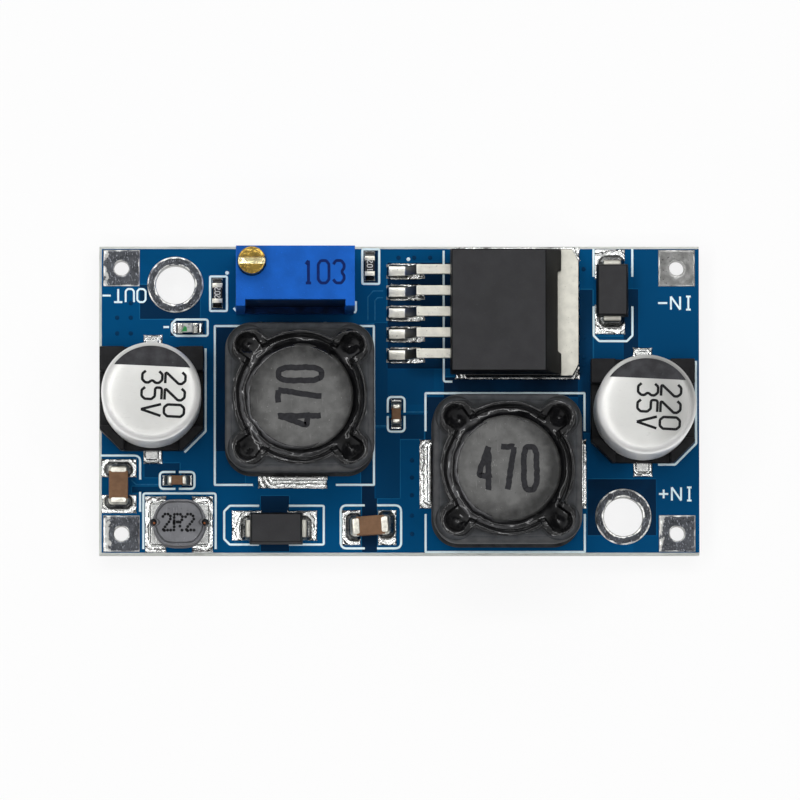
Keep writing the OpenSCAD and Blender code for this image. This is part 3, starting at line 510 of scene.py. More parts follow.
def bright_plating():
    """Thin bright plating on the indicator's ends: pale silver with dark wetting marks."""
    look = Look("bright_end_plating", "#d6d6cf", 0.25, 1.0)
    look.tint(look.grain(0.3, 3.0), 0.4, 1.0, 0.32, 0.46)
    look.relief(look.grain(0.2), 0.02)
    return look


def plain_ink(name, colour):
    """Print, or mask over a trace, of one plain colour: flat and slightly uneven in the stroke."""
    look = Look(name, colour, 0.5, specular=0.1)
    look.tint(look.grain(0.3), 0.8, 1.15)
    return look


# Finishes that share the name of their slot, and those that don't
NAMESAKES = (
    legend_ink, pale_plastic, black_moulding, black_glue, can_print, black_plastic, brown_ceramic,
    black_glass, pale_laminate, clear_resin,
)
MAKERS = {maker.__name__: maker for maker in NAMESAKES}
MAKERS |= {
    "solder_mask": laminate_board,
    "mask_sheet": solder_mask,
    "tinned_pad": levelled_pad,
    "tinned_land": levelled_pad,
    "tinned_lead": matt_tin,
    # The formed leads take a brighter copy of the tin, as painted light
    "formed_lead": lambda: matt_tin("formed_tin_lead", 0.3, 1.32),
    "tinned_end": plated_end,
    "solder": reflowed_solder,
    "blue_plastic": moulded_blue,
    "blue_resin": potting_resin,
    "brass": turned_brass,
    "alumina": fired_alumina,
    "shield_ferrite": pressed_ferrite,
    "core_ferrite": ground_ferrite,
    "drum_ferrite": lambda: ground_ferrite("ground_drum_ferrite", "drum"),
    "copper_wire": enamelled_copper,
    "can_aluminium": drawn_aluminium,
    "gilt_metal": bright_plating,
}
INKS = {
    "core_print": ("core_print_ink", "#2a2a2d"),
    "drum_print": ("drum_print_ink", "#151517"),
    "trace_edge": ("mask_over_trace", "#16608c"),
    "can_letters": ("can_letter_ink", "#1b1b1d"),
    "trimmer_print": ("trimmer_print_ink", "trimmer_ink"),
    "value_print": ("value_print_ink", "#e8e8e4"),
    "green_print": ("green_mark_ink", "#3f9a56"),
}
made_finishes = {}


def finish_for(name):
    """The finish of that name, made once."""
    if name not in made_finishes:
        look = plain_ink(*INKS[name]) if name in INKS else MAKERS[name]()
        made_finishes[name] = look.material
    return made_finishes[name]


# Edges that turn by more than this many degrees stay sharp in the shading
SHARP = 38.0


def dress(name, mesh, finish, body="module", stands_for=(), sharp=SHARP):
    """Makes a mesh an object of the module: finish, shading and body, and hides the nodes it stands for."""
    mesh.materials.clear()
    mesh.materials.append(finish_for(finish))
    mesh.polygons.foreach_set("use_smooth", [True] * len(mesh.polygons))
    mesh.set_sharp_from_angle(angle=math.radians(sharp))
    made = bpy.data.objects.new(name, mesh)
    bpy.context.scene.collection.objects.link(made)
    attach(made, body)
    if stands_for:
        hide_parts(*stands_for)
    return made


def mark_points(mesh, name, values):
    """Stores a number for each point of a mesh, which a finish reads by its name."""
    mesh.attributes.new(name, "FLOAT", "POINT").data.foreach_set("value", np.asarray(values, float))


def solid(name, made, finish, stands_for=(), sharp=SHARP, values=None, orient=True):
    """Builds a closed mesh from points in millimetres and faces, turns it outward and dresses it."""
    verts, faces = made
    mesh = bpy.data.meshes.new(name)
    mesh.from_pydata([tuple(v) for v in np.asarray(verts, float) * MM], [], [tuple(f) for f in faces])
    if orient:
        work = bmesh.new()
        work.from_mesh(mesh)
        bmesh.ops.recalc_face_normals(work, faces=work.faces)
        work.to_mesh(mesh)
        work.free()
    for key, numbers in (values or {}).items():
        mark_points(mesh, key, numbers)
    return dress(name, mesh, finish, stands_for=stands_for, sharp=sharp)


# Points nearer than this, in metres, are one, and so are faces that turn by less; an edge that turns by
# more than this is rounded, in so many steps
WELD, FLAT, BEVEL_FROM, BEVEL_STEPS = 1e-6, math.radians(0.5), math.radians(32), 3


def merged_copy(node):
    """A bmesh of a CAD node with its loose triangles joined and its flat faces whole again."""
    work = bmesh.new()
    work.from_mesh(frame["nodes"][node].data)
    bmesh.ops.remove_doubles(work, verts=work.verts, dist=WELD)
    bmesh.ops.dissolve_limit(work, angle_limit=FLAT, verts=work.verts, edges=work.edges)
    return work


def softened(node, width, finish=None, body="module"):
    """Rounds the edges of a CAD node's shape, as the real moulding or pressing has them."""
    work = merged_copy(node)
    edges = [e for e in work.edges if len(e.link_faces) == 2 and e.calc_face_angle(0.0) > BEVEL_FROM]
    bmesh.ops.bevel(
        work, geom=edges, offset=width * MM, offset_type="OFFSET", segments=BEVEL_STEPS, profile=0.5,
        affect="EDGES", clamp_overlap=True,
    )
    mesh = bpy.data.meshes.new(node + "_finish")
    work.to_mesh(mesh)
    work.free()
    made = dress(node + "_finish", mesh, finish or SLOT_OF[node], body, (node,))
    made.modifiers.new("even_shading", "WEIGHTED_NORMAL").keep_sharp = True
    return made


def spun(x, y, degrees, at=(0, 0)):
    """Plan coordinates turned by degrees about the origin and moved to a place."""
    cosine, sine = math.cos(math.radians(degrees)), math.sin(math.radians(degrees))
    return at[0] + x * cosine - y * sine, at[1] + x * sine + y * cosine


def islands(node, turn=0.0, about=(0, 0)):
    """The lowest and highest corner, in millimetres, of each separate solid of a CAD node, turned back."""
    work = merged_copy(node)
    seen, boxes = set(), []
    for start in work.verts:
        if start in seen:
            continue
        stack, points = [start], []
        seen.add(start)
        while stack:
            vert = stack.pop()
            points.append(tuple(vert.co / MM))
            fresh = [other for other in (e.other_vert(vert) for e in vert.link_edges) if other not in seen]
            seen.update(fresh)
            stack += fresh
        points = np.array(points)
        points[:, 0], points[:, 1] = spun(points[:, 0] - about[0], points[:, 1] - about[1], -turn, about)
        boxes.append((points.min(0), points.max(0)))
    work.free()
    return boxes


def joined(parts):
    """The points and faces of several meshes of four-sided faces, as one mesh."""
    verts, faces, count = [], [], 0
    for points, skin in parts:
        verts.append(points)
        faces += np.add(skin, count).tolist()
        count += len(points)
    return np.concatenate(verts), faces


# A block's rounding takes up no more than this share of its least side, in so many steps
ROUND_MOST, ROUND_STEPS = 0.49, 4


def rounded_block(low, high, radius, turn=0.0, about=(0, 0)):
    """A block with every edge and corner rounded, turned by degrees about an upright axis."""
    low, high = np.asarray(low, float), np.asarray(high, float)
    radius = min(radius, ROUND_MOST * float(np.min(high - low)))
    ease = np.linspace(0, 1, ROUND_STEPS + 1) * radius
    lines = [np.concatenate([low[i] + ease, (high[i] - ease)[::-1]]) for i in range(3)]
    count = len(lines[0])
    index, verts, faces = {}, [], []

    def vert(key):
        if key not in index:
            spot = np.array([lines[i][key[i]] for i in range(3)])
            core = np.clip(spot, low + radius, high - radius)
            out = spot - core
            index[key] = len(verts)
            verts.append(core + out * radius / max(float(np.linalg.norm(out)), 1e-9))
        return index[key]

    for axis in range(3):
        one, two = [i for i in range(3) if i != axis]
        for end in (0, count - 1):
            for a, b in np.ndindex(count - 1, count - 1):
                face = []
                for da, db in ((0, 0), (1, 0), (1, 1), (0, 1)):
                    key = [end, end, end]
                    key[one], key[two] = a + da, b + db
                    face.append(vert(tuple(key)))
                faces.append(face)
    verts = np.array(verts)
    verts[:, 0], verts[:, 1] = spun(verts[:, 0] - about[0], verts[:, 1] - about[1], turn, about)
    return verts, faces


def corners(node):
    """The lowest and highest corner of a CAD node, in millimetres."""
    return [np.array(corner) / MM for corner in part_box(node)]


def middle(node):
    """The middle of a CAD node's plan and its top, in millimetres."""
    lowest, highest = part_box(node)
    return (lowest.x + highest.x) / 2 / MM, (lowest.y + highest.y) / 2 / MM, highest.z / MM


def plan(node):
    """The middle and the half sizes of a CAD node's plan, in millimetres."""
    low, high = (corner[:2] for corner in corners(node))
    return (low + high) / 2, (high - low) / 2


def loft(rings, ring_of_rings=False):
    """Skins a row of equal rings that run anticlockwise; the row closes on itself or ends in two caps."""
    count, turns = len(rings), len(rings[0])
    verts = np.concatenate(rings)
    faces = []
    for i in range(count if ring_of_rings else count - 1):
        a, b = i * turns, (i + 1) % count * turns
        for j in range(turns):
            k = (j + 1) % turns
            faces.append((a + j, a + k, b + k, b + j))
    if not ring_of_rings:
        faces.append(tuple(reversed(range(turns))))
        faces.append(tuple(range((count - 1) * turns, count * turns)))
    return verts, faces


def revolve(profile, centre, turns):
    """Turns a profile of radius and height round an upright axis, from the bottom up."""
    angles = np.linspace(0, 2 * math.pi, turns, endpoint=False)
    rings = []
    for radius, height in profile:
        ring = [centre[0] + radius * np.cos(angles), centre[1] + radius * np.sin(angles)]
        rings.append(np.stack(ring + [np.full(turns, height)], axis=1))
    return loft(rings)


def cell_sheet(xs, ys, keep, top, bottom):
    """A closed sheet over the kept cells of a grid, with its own top and bottom height at each point."""
    grid_x, grid_y = np.meshgrid(xs, ys) if np.ndim(xs) == 1 else (xs, ys)
    rows, columns = grid_x.shape
    upper = np.stack([grid_x, grid_y, top], axis=2).reshape(-1, 3)
    lower = np.stack([grid_x, grid_y, bottom], axis=2).reshape(-1, 3)
    shift = columns * rows
    faces = []
    padded = np.zeros((rows + 1, columns + 1), bool)
    padded[1:rows, 1:columns] = keep
    for r in range(rows - 1):
        for c in range(columns - 1):
            if not keep[r, c]:
                continue
            a, b = r * columns + c, r * columns + c + 1
            d, e = a + columns, b + columns
            faces.append((a, b, e, d))
            faces.append((d + shift, e + shift, b + shift, a + shift))
            sides = (
                (padded[r, c + 1], (a + shift, b + shift, b, a)),
                (padded[r + 2, c + 1], (d, e, e + shift, d + shift)),
                (padded[r + 1, c], (a, d, d + shift, a + shift)),
                (padded[r + 1, c + 2], (b + shift, e + shift, e, b)),
            )
            faces += [side for covered, side in sides if not covered]
    verts = np.concatenate([upper, lower])
    used = np.unique(np.array(faces))
    renamed = np.full(len(verts), -1)
    renamed[used] = np.arange(len(used))
    return verts[used], renamed[np.array(faces)], used % shift


def wobble(xs, ys, across, seed):
    """Smooth noise from -1 to 1 at each point, with bumps about across millimetres wide."""
    flat = zip(np.ravel(xs) / across, np.ravel(ys) / across)
    return np.array([noise.noise(Vector((x, y, seed))) for x, y in flat]).reshape(np.shape(xs))


def bell(distance, width):
    """A smooth bump: 1 at no distance, fading over a width."""
    return np.exp(-((distance / width) ** 2))


# Pen paths of the letters on a grid four wide and six high
GLYPHS = {
    "0": "10 30 41 45 36 16 05 01 10",
    "1": "15 26 / 26 20 / 10 30",
    "2": "05 16 36 45 44 00 40",
    "3": "05 16 36 45 44 33 42 41 30 10 01",
    "4": "36 02 42 / 30 36",
    "5": "46 06 04 34 43 41 30 10 01",
    "7": "06 46 / 46 20",
    "R": "00 06 36 45 44 33 03 / 23 40",
    "V": "06 20 / 20 46",
    "O": "10 30 41 45 36 16 05 01 10",
    "U": "06 01 10 30 41 46",
    "T": "06 46 / 26 20",
    "I": "20 26 / 10 30 / 16 36",
    "N": "00 06 / 06 40 / 40 46",
    "+": "03 43 / 21 25",
    "-": "03 43",
}
GLYPH_WIDE, GLYPH_HIGH, GLYPH_STEP = 4, 6, 5.6
# Each further stroke of a letter lies this much higher, so that crossing strokes never share a face
STROKE_LIFT = 0.0015
# A shaken path is cut into steps of this length and sways over this width
SHAKE_STEP, SHAKE_WIDE = 0.16, 0.3


def stroke_paths(text, height, at, turn, width=1.0, pitch=GLYPH_STEP):
    """The pen paths of a text, centred on a place and turned by degrees, in millimetres."""
    unit = height / GLYPH_HIGH
    length = (len(text) - 1) * pitch + GLYPH_WIDE
    paths = []
    for order, letter in enumerate(text):
        for layer, run in enumerate(GLYPHS[letter].split(" / ")):
            path = []
            for spot in run.split():
                x = (int(spot[0]) + order * pitch - length / 2) * unit * width
                y = (int(spot[1]) - GLYPH_HIGH / 2) * unit
                path.append(spun(x, y, turn, at) + (at[2] + STROKE_LIFT * layer,))
            paths.append(path)
    return paths


def shaken(path, shake):
    """A pen path cut into short steps and shaken sideways by up to shake millimetres."""
    steps = []
    for start, end in zip(path, path[1:]):
        count = max(1, int(math.dist(start, end) / SHAKE_STEP))
        steps += [np.array(start) + (np.array(end) - start) * i / count for i in range(count)]
    steps = np.array(steps + [np.array(path[-1])])
    for axis, seed in ((0, 31.0), (1, 37.0)):
        steps[:, axis] += shake * wobble(steps[:, 0], steps[:, 1], SHAKE_WIDE, seed)
    return [tuple(p) for p in steps]


def wire_mesh(name, paths):
    """A mesh of edges along the given paths, in metres, for Geometry Nodes to follow."""
    verts, edges = [], []
    for path in paths:
        closed = path[0] == path[-1] and len(path) > 2
        points = path[:-1] if closed else path
        first = len(verts)
        verts += [tuple(c * MM for c in p) for p in points]
        edges += [(first + i, first + i + 1) for i in range(len(points) - 1)]
        if closed:
            edges.append((first + len(points) - 1, first))
    mesh = bpy.data.meshes.new(name)
    mesh.from_pydata(verts, edges, [])
    return mesh


def node_tree(name, *sizes):
    """An empty Geometry Nodes tree with a geometry input, named sizes and a geometry output."""
    tree = bpy.data.node_groups.new(name, "GeometryNodeTree")
    tree.interface.new_socket("Geometry", in_out="INPUT", socket_type="NodeSocketGeometry")
    for label in sizes:
        tree.interface.new_socket(label, in_out="INPUT", socket_type="NodeSocketFloat")
    tree.interface.new_socket("Geometry", in_out="OUTPUT", socket_type="NodeSocketGeometry")
    return tree, add(tree, "NodeGroupInput").outputs


def close_tree(tree, geometry, finish):
    """Ends a tree in Realize Instances and Set Material."""
    real = add(tree, "GeometryNodeRealizeInstances", {"Geometry": geometry})
    done = add(tree, "GeometryNodeSetMaterial", {"Geometry": real, "Material": finish_for(finish)})
    add(tree, "NodeGroupOutput", {"Geometry": done})
    return tree


# A pen turns a corner with this radius, as a share of its stroke, in so many steps
PEN_CORNER, PEN_STEPS = 0.9, 3


def stroke_tree(finish):
    """A pen stroke of one width and thickness along every path."""
    tree, given = node_tree("pen_stroke", "Stroke", "Thickness")
    path = add(tree, "GeometryNodeMeshToCurve", {"Mesh": given["Geometry"]})
    corner = add(tree, "ShaderNodeMath", {0: given["Stroke"], 1: PEN_CORNER}, operation="MULTIPLY")
    sockets = {"Curve": path, "Radius": corner, "Limit Radius": True, "Count": PEN_STEPS}
    path = add(tree, "GeometryNodeFilletCurve", sockets, mode="POLY")
    path = add(tree, "GeometryNodeSetCurveNormal", {"Curve": path}, mode="Z_UP")
    sockets = {"Width": given["Stroke"], "Height": given["Thickness"]}
    nib = add(tree, "GeometryNodeCurvePrimitiveQuadrilateral", sockets)
    sockets = {"Curve": path, "Profile Curve": nib, "Fill Caps": True}
    return close_tree(tree, add(tree, "GeometryNodeCurveToMesh", sockets), finish)


def dot_tree(finish):
    """Round dots of one pitch along every path, as a dot printer leaves them."""
    tree, given = node_tree("dot_print", "Pitch", "Radius", "Thickness")
    path = add(tree, "GeometryNodeMeshToCurve", {"Mesh": given["Geometry"]})
    spots = add(tree, "GeometryNodeCurveToPoints", {"Curve": path, "Length": given["Pitch"]}, mode="LENGTH")
    sockets = {"Vertices": 10, "Radius": given["Radius"], "Depth": given["Thickness"]}
    dot = add(tree, "GeometryNodeMeshCylinder", sockets)
    sockets = {"Points": spots, "Instance": dot}
    return close_tree(tree, add(tree, "GeometryNodeInstanceOnPoints", sockets), finish)


def dome_tree(finish):
    """A low dome on every point, as mask bridges a filled via."""
    tree, given = node_tree("via_domes", "Radius", "Flatness")
    ball = add(tree, "GeometryNodeMeshUVSphere", {"Segments": 14, "Rings": 8, "Radius": given["Radius"]})
    low = add(tree, "ShaderNodeCombineXYZ", {0: 1.0, 1: 1.0, 2: given["Flatness"]})
    sockets = {"Points": given["Geometry"], "Instance": ball, "Scale": low}
    return close_tree(tree, add(tree, "GeometryNodeInstanceOnPoints", sockets), finish)


def winding_tree(finish, place):
    """Close turns of round wire on an upright drum that stands at a place."""
    tree, given = node_tree("wire_turns", "Turns", "Drum radius", "Wire", "Height")
    sockets = {"Resolution": 48, "Rotations": given["Turns"], "Start Radius": given["Drum radius"]}
    sockets.update({"End Radius": given["Drum radius"], "Height": given["Height"]})
    path = add(tree, "GeometryNodeCurveSpiral", sockets)
    half = add(tree, "ShaderNodeMath", {0: given["Wire"], 1: 0.5}, operation="MULTIPLY")
    ring = add(tree, "GeometryNodeCurvePrimitiveCircle", {"Resolution": 12, "Radius": half})
    wound = add(tree, "GeometryNodeCurveToMesh", {"Curve": path, "Profile Curve": ring, "Fill Caps": True})
    sockets = {"Geometry": wound, "Translation": place}
    return close_tree(tree, add(tree, "GeometryNodeTransform", sockets), finish)


def grown(name, paths, maker, values, finish, stands_for=(), sharp=SHARP):
    """Makes a Geometry Nodes tree, runs it along paths and keeps the result as a plain mesh piece."""
    tree = maker(finish)
    host = bpy.data.objects.new(name + "_host", wire_mesh(name, paths))
    bpy.context.scene.collection.objects.link(host)
    modifier = host.modifiers.new("build", "NODES")
    modifier.node_group = tree
    for item in tree.interface.items_tree:
        if item.in_out == "INPUT" and item.name in values:
            modifier[item.identifier] = values[item.name]
    graph = bpy.context.evaluated_depsgraph_get()
    plain = bpy.data.meshes.new_from_object(host.evaluated_get(graph), depsgraph=graph)
    bpy.data.objects.remove(host)
    if not plain.polygons:
        raise RuntimeError(f"{name}: the node tree made no faces")
    return dress(name, plain, finish, stands_for=stands_for, sharp=sharp)


# Thickness of a print, and how far the legend's middle lies above the board
INK, PRINT_LIFT = 0.012, 0.02


def printed(name, marks, stroke, finish, thickness=INK, width=1.0, pitch=GLYPH_STEP, shake=0.0):
    """Prints texts with a pen stroke; a mark is its text, height, place and turn."""
    paths = [p for text, tall, at, turn in marks for p in stroke_paths(text, tall, at, turn, width, pitch)]
    if shake:
        paths = [shaken(path, shake) for path in paths]
    values = {"Stroke": stroke * MM, "Thickness": thickness * MM}
    return grown(name, paths, stroke_tree, values, finish)


# Shapes drawn as a reach in each direction round an upright axis
TURNS = 192
TURN = np.linspace(0, 2 * math.pi, TURNS, endpoint=False)


def square_reach(half, corner):
    """How far a rounded square reaches in each direction."""
    folded = np.abs((TURN + math.pi / 4) % (math.pi / 2) - math.pi / 4)
    side = half / np.cos(folded)
    centre = half - corner
    along = centre * (np.cos(folded) + np.sin(folded))
    round_part = along + np.sqrt(np.maximum(along**2 - 2 * centre**2 + corner**2, 0))
    return np.where(half * np.tan(folded) <= centre, side, round_part)


def ring_at(reach, height, centre):
    """A closed ring of points at a reach in each direction and a height."""
    heights = np.broadcast_to(height, (TURNS,))
    return np.stack([centre[0] + reach * np.cos(TURN), centre[1] + reach * np.sin(TURN), heights], axis=1)


BOARD_LOW, BOARD_HIGH = corners("board")
BOARD_TOP = float(BOARD_HIGH[2])
# Width of the scored strip that the mask leaves bare along the front, left and rear
SCORE = 0.2
# Height of mask over bare laminate, how far its sheet starts under the board's top, and its mesh
MASK_LIFT, MASK_SUNK, MASK_PITCH = 0.004, 0.01, 3.0
# The thin rim of mask at a copper edge: width, half the step, least step and how much paler it is
RIM, STEP_HALF, RIM_FROM, RIM_PALE = 0.09, 0.02, 0.2, 0.35
# Half the width of the mask's square openings at the holes
MASK_OPENINGS = {"mounting_rings": 1.66, "wire_pads": 0.7, "trimmer_pads": 0.5}
# Covered vias stand this far up, and show this much copper
VIA_LIFT, VIA_FLAT, VIA_COPPER = 0.01, 0.25, 0.35
COVERED_VIAS = [(x, y) for x in (-22.8, -21.7) for y in (6.73, 5.45)] + [(-21.69, 7.9)]
COVERED_VIAS += [(1.02, y) for y in (-4.83, -6.22, -7.65, -9.3, -10.79)]
COVERED_VIAS += [(x, 11.59) for x in (-0.05, 1.22, 2.51)]
COVERED_VIAS += [(14.93, y) for y in (10.66, 5.15, 3.53, 2.9)]
# Missing copper under the mask, and the right side's painted shade: left, front, right and rear edge, and
# how much copper shows
BARE_AND_SHADED_PATCHES = {
    # The whole right side is darkened as painted shade
    "right side": (18.9, -12.4, 24.3, 12.4, 0.83),
    "left mounting hole": (-20.96, 6.63, -16.1, 9.4, 0.2),
    "left coil, left side": (-14.85, -4.1, -12.47, 5.95, 0.15),
    "left coil, front corner": (-14.85, -6.75, -12.47, -4.1, 0.75),
    "left coil, right side": (-3.1, -6.75, -2.0, 6.0, 0.35),
    "beside left coil": (-2.0, -2.16, -0.95, 6.3, 0.55),
    "front diode": (-11.2, -12.2, -8.9, -7.7, 0.15),
    "front chip": (-3.02, -12.25, -1.8, -6.8, 0.1),
    "beside via column": (-2.0, -7.9, 0.05, -2.2, 0.6),
    "above via column": (0.05, -3.1, 2.0, -1.1, 0.3),
    "centre chip": (-0.95, -1.1, 3.6, 2.6, 0.75),
    "centre trace": (2.8, 0.5, 3.5, 2.6, 0.9),
    "centre trace, turn": (0.7, -0.87, 2.8, -0.3, 0.9),
    "regulator leads": (-0.95, 2.6, 4.2, 11.2, 0.1),
    "regulator and right coil": (3.6, 0.3, 15.4, 1.9, 0.05),
    "right coil, rear left": (2.1, -3.2, 4.2, 0.3, 0.1),
    "right coil, rear right": (13.2, -3.2, 14.97, 0.3, 0.6),
    "beside regulator tab": (14.45, -2.6, 15.65, 9.0, 0.3),
    "rear diode trace": (15.75, 2.0, 18.15, 5.2, 0.75),
    "beside rear diode": (18.15, 3.1, 19.35, 9.05, 0.2),
    "right mounting hole": (15.2, -10.9, 20.75, -6.35, 0.12),
    "left capacitor": (-20.6, -6.2, -17.75, -5.05, 0.3),
    "left resistor": (-15.35, 7.35, -14.05, 10.05, 0.05),
    "centre resistor": (-3.03, 9.55, -1.73, 12.25, 0.05),
    "indicator": (-18.5, 5.25, -15.7, 6.5, 0.1),
    "left bypass, left": (-19.32, -7.08, -18.3, -5.82, 0.1),
    "left bypass, right": (-17.6, -7.08, -16.58, -5.82, 0.1),
    "centre bypass, front": (-0.9, -2.45, 0.4, -1.4, 0.1),
    "centre bypass, rear": (-0.9, -0.8, 0.4, 0.25, 0.1),
    "filter coil": (-21.6, -7.45, -19.3, -6.95, 0.35),
}


def copper_and_shade_at(xs, ys):
    """How much copper shows through the mask at each point of the board, with painted shade on the right
    side.
    """
    shown = np.ones(np.shape(xs))
    for left, front, right, rear, share in BARE_AND_SHADED_PATCHES.values():
        shown[(xs > left) & (xs < right) & (ys > front) & (ys < rear)] = share
    return shown


def mask_openings():
    """Squares of the mask that stay open at the holes, as middle and half width."""
    squares = []
    for node, half in MASK_OPENINGS.items():
        for low, high in islands(node):
            squares.append(((low[0] + high[0]) / 2, (low[1] + high[1]) / 2, half))
    return squares


def grid_lines(start, end, edges, openings):
    """Where the mask's mesh lines cross one side: at copper edges, at openings and at an even pitch."""
    lines = [start, end] + [edge + s for edge in edges for s in (-RIM, -STEP_HALF, STEP_HALF, RIM)]
    lines += [at + s for at, half in openings for s in (-half, half)]
    lines += list(np.arange(start, end, MASK_PITCH))
    return np.array([line for line in np.unique(np.round(lines, 3)) if start <= line <= end])


# Films on bare pads by their node: hole radius, and widths of the painted highlight along the rim and along
# the throat
FILMS = {"wire_pads": (0.6, 0.14, 0.08), "mounting_rings": (1.575, 0.2, 0.17)}
# A film's height, the width of its meniscus, its ripple, its gap to an edge, and a pad's corner radius
FILM_LIFT, FILM_EDGE, FILM_RIPPLE, FILM_GAP, PAD_CORNER = 0.05, 0.16, 0.012, 0.01, 0.12
# How far bright tin reaches over a wire pad from its left, by whether the pad is at the left and front
TINNED = {(True, True): 0.95, (False, True): 0.55, (True, False): 0.6, (False, False): 0.0}


class MODULE_OT_board(bpy.types.Operator):
    """Mask with its copper pours, levelled solder on the bare pads, and covered vias"""

    bl_idname = "module.board"
    bl_label = "Board"

    def execute(self, context):
        squares = mask_openings()
        left, front = BOARD_LOW[:2] + SCORE
        right, rear = BOARD_HIGH[0], BOARD_HIGH[1] - SCORE
        patches = np.array(list(BARE_AND_SHADED_PATCHES.values()))
        xs = grid_lines(left, right, patches[:, (0, 2)].ravel(), [(x, half) for x, y, half in squares])
        ys = grid_lines(front, rear, patches[:, (1, 3)].ravel(), [(y, half) for x, y, half in squares])
        grid_x, grid_y = np.meshgrid(xs, ys)
        copper = copper_and_shade_at(grid_x, grid_y)
        sides = ((RIM, 0), (-RIM, 0), (0, RIM), (0, -RIM))
        around = [copper_and_shade_at(grid_x + dx, grid_y + dy) for dx, dy in sides]
        rim = copper - np.min(around, axis=0) > RIM_FROM
        top = BOARD_TOP + MASK_LIFT + size("mask_step") * copper
        cell_x, cell_y = np.meshgrid((xs[1:] + xs[:-1]) / 2, (ys[1:] + ys[:-1]) / 2)
        keep = np.ones(cell_x.shape, bool)
        for x, y, half in squares:
            keep &= ~((abs(cell_x - x) < half) & (abs(cell_y - y) < half))
        bottom = np.full(top.shape, BOARD_TOP - MASK_SUNK)
        verts, faces, source = cell_sheet(xs, ys, keep, top, bottom)
        # The copper value also carries the painted shade of the right side
        values = {"copper": (copper + RIM_PALE * rim).ravel()[source]}
        solid("mask_sheet", (verts, faces), "mask_sheet", values=values)
        self.films()
        self.vias()
        return {"FINISHED"}

    def films(self):
        """Levelled solder lying on the wire pads and mounting rings, thin at its edges, where a highlight is
        painted.
        """
        parts, highlights_and_tin, dulls = [], [], []
        for node, (hole, rim_wide, throat_wide) in FILMS.items():
            square = node == "wire_pads"
            inner = np.full(TURNS, hole + FILM_GAP)
            for low, high in islands(node):
                x, y = (low[0] + high[0]) / 2, (low[1] + high[1]) / 2
                half = (high[0] - low[0]) / 2 - FILM_GAP
                outer = square_reach(half, PAD_CORNER) if square else np.full(TURNS, half)
                tinned = max(TINNED[x < 0, y < 0], 0.1)
                rings = [ring_at(outer, high[2] - 0.02, (x, y))]
                highlights_and_tin.append(np.ones(TURNS))
                for share in np.linspace(0, 1, 26):
                    reach = outer * (1 - share) + inner * share
                    edge = np.minimum(outer - reach, reach - inner)
                    swell = np.sqrt(np.clip(edge / FILM_EDGE, 0, 1))
                    spots = ring_at(reach, high[2] + FILM_LIFT * swell, (x, y))
                    spots[:, 2] += FILM_RIPPLE * swell * wobble(spots[:, 0], spots[:, 1], 0.5, 2.0)
                    rings.append(spots)
                    # A highlight is painted along the outer edge and the throat, and on wire pads the bright
                    # tin from the left
                    rim = np.clip(1.15 - (outer - reach) / rim_wide, 0, 1)
                    throat = np.clip(1.5 - (reach - inner) / throat_wide, 0, 1)
                    rim = np.maximum(rim, 0.8 * throat)
                    if square:
                        side = 1.2 - (spots[:, 0] - low[0]) / tinned
                        rim = np.maximum(rim, np.clip(side, 0, 0.82))
                    highlights_and_tin.append(rim)
                rings.append(ring_at(inner, high[2] - 0.02, (x, y)))
                highlights_and_tin.append(np.zeros(TURNS))
                parts.append(loft(rings, True))
                bright_pad = square and x > 0 and y > 0
                dulls.append(np.full(len(rings) * TURNS, 0.15 if bright_pad else 0.9))
        values = {"rim": np.concatenate(highlights_and_tin), "dull": np.concatenate(dulls)}
        solid("pad_films", joined(parts), "tinned_pad", values=values)

    def vias(self):
        """Low domes where mask bridges a via."""
        spots = [[(x, y, BOARD_TOP + VIA_LIFT)] for x, y in COVERED_VIAS]
        values = {"Radius": size("via_radius") * MM, "Flatness": VIA_FLAT}
        domes = grown("covered_vias", spots, dome_tree, values, "mask_sheet")
        mark_points(domes.data, "copper", np.full(len(domes.data.vertices), VIA_COPPER))


def turned(points, at, degrees=0.0):
    """Points of a plan turned by degrees and moved to a place."""
    return [spun(x, y, degrees, at) for x, y in points]


def eased(points, radius):
    """A path with its inner corners rounded."""
    path = [points[0]]
    for before, corner, after in zip(points, points[1:], points[2:]):
        back, on = np.subtract(before, corner), np.subtract(after, corner)
        back, on = back / np.linalg.norm(back), on / np.linalg.norm(on)
        for t in np.linspace(0, 1, 7):
            path.append(tuple(np.array(corner) + radius * (back * (1 - t) ** 2 + on * t**2)))
    return path + [points[-1]]


def brackets(at, half, gap, turn=0.0, corner=0.05):
    """Two facing brackets round a part, open by twice the gap."""
    one = [(gap, -half[1]), (half[0], -half[1]), (half[0], half[1]), (gap, half[1])]
    return [turned(eased(one, corner), at, turn + flip) for flip in (0, 180)]


# Edges of traces that show through the mask, and the width, thickness and height that they have
COVERED_TRACES = [
    [(-2.53, 6.5), (-2.53, 8.4), (-2.1, 8.9), (-1.3, 8.9)],
    [(-1.96, 6.5), (-1.96, 8.1), (-1.75, 8.35), (-1.3, 8.35)],
    [(-1.96, -2.04), (-0.93, -2.04)],
    [(0.3, -0.91), (2.3, -0.91)],
    [(-21.67, -6.39), (-21.26, -6.78), (-19.3, -6.78)],
]
TRACE_WIDE, TRACE_THICK, TRACE_LIFT = 0.1, 0.014, 0.012
# How far the shields' outlines stand off, and how far they open towards the terminals
SHIELD_CLEAR, COIL_OPEN = 0.43, 3.35


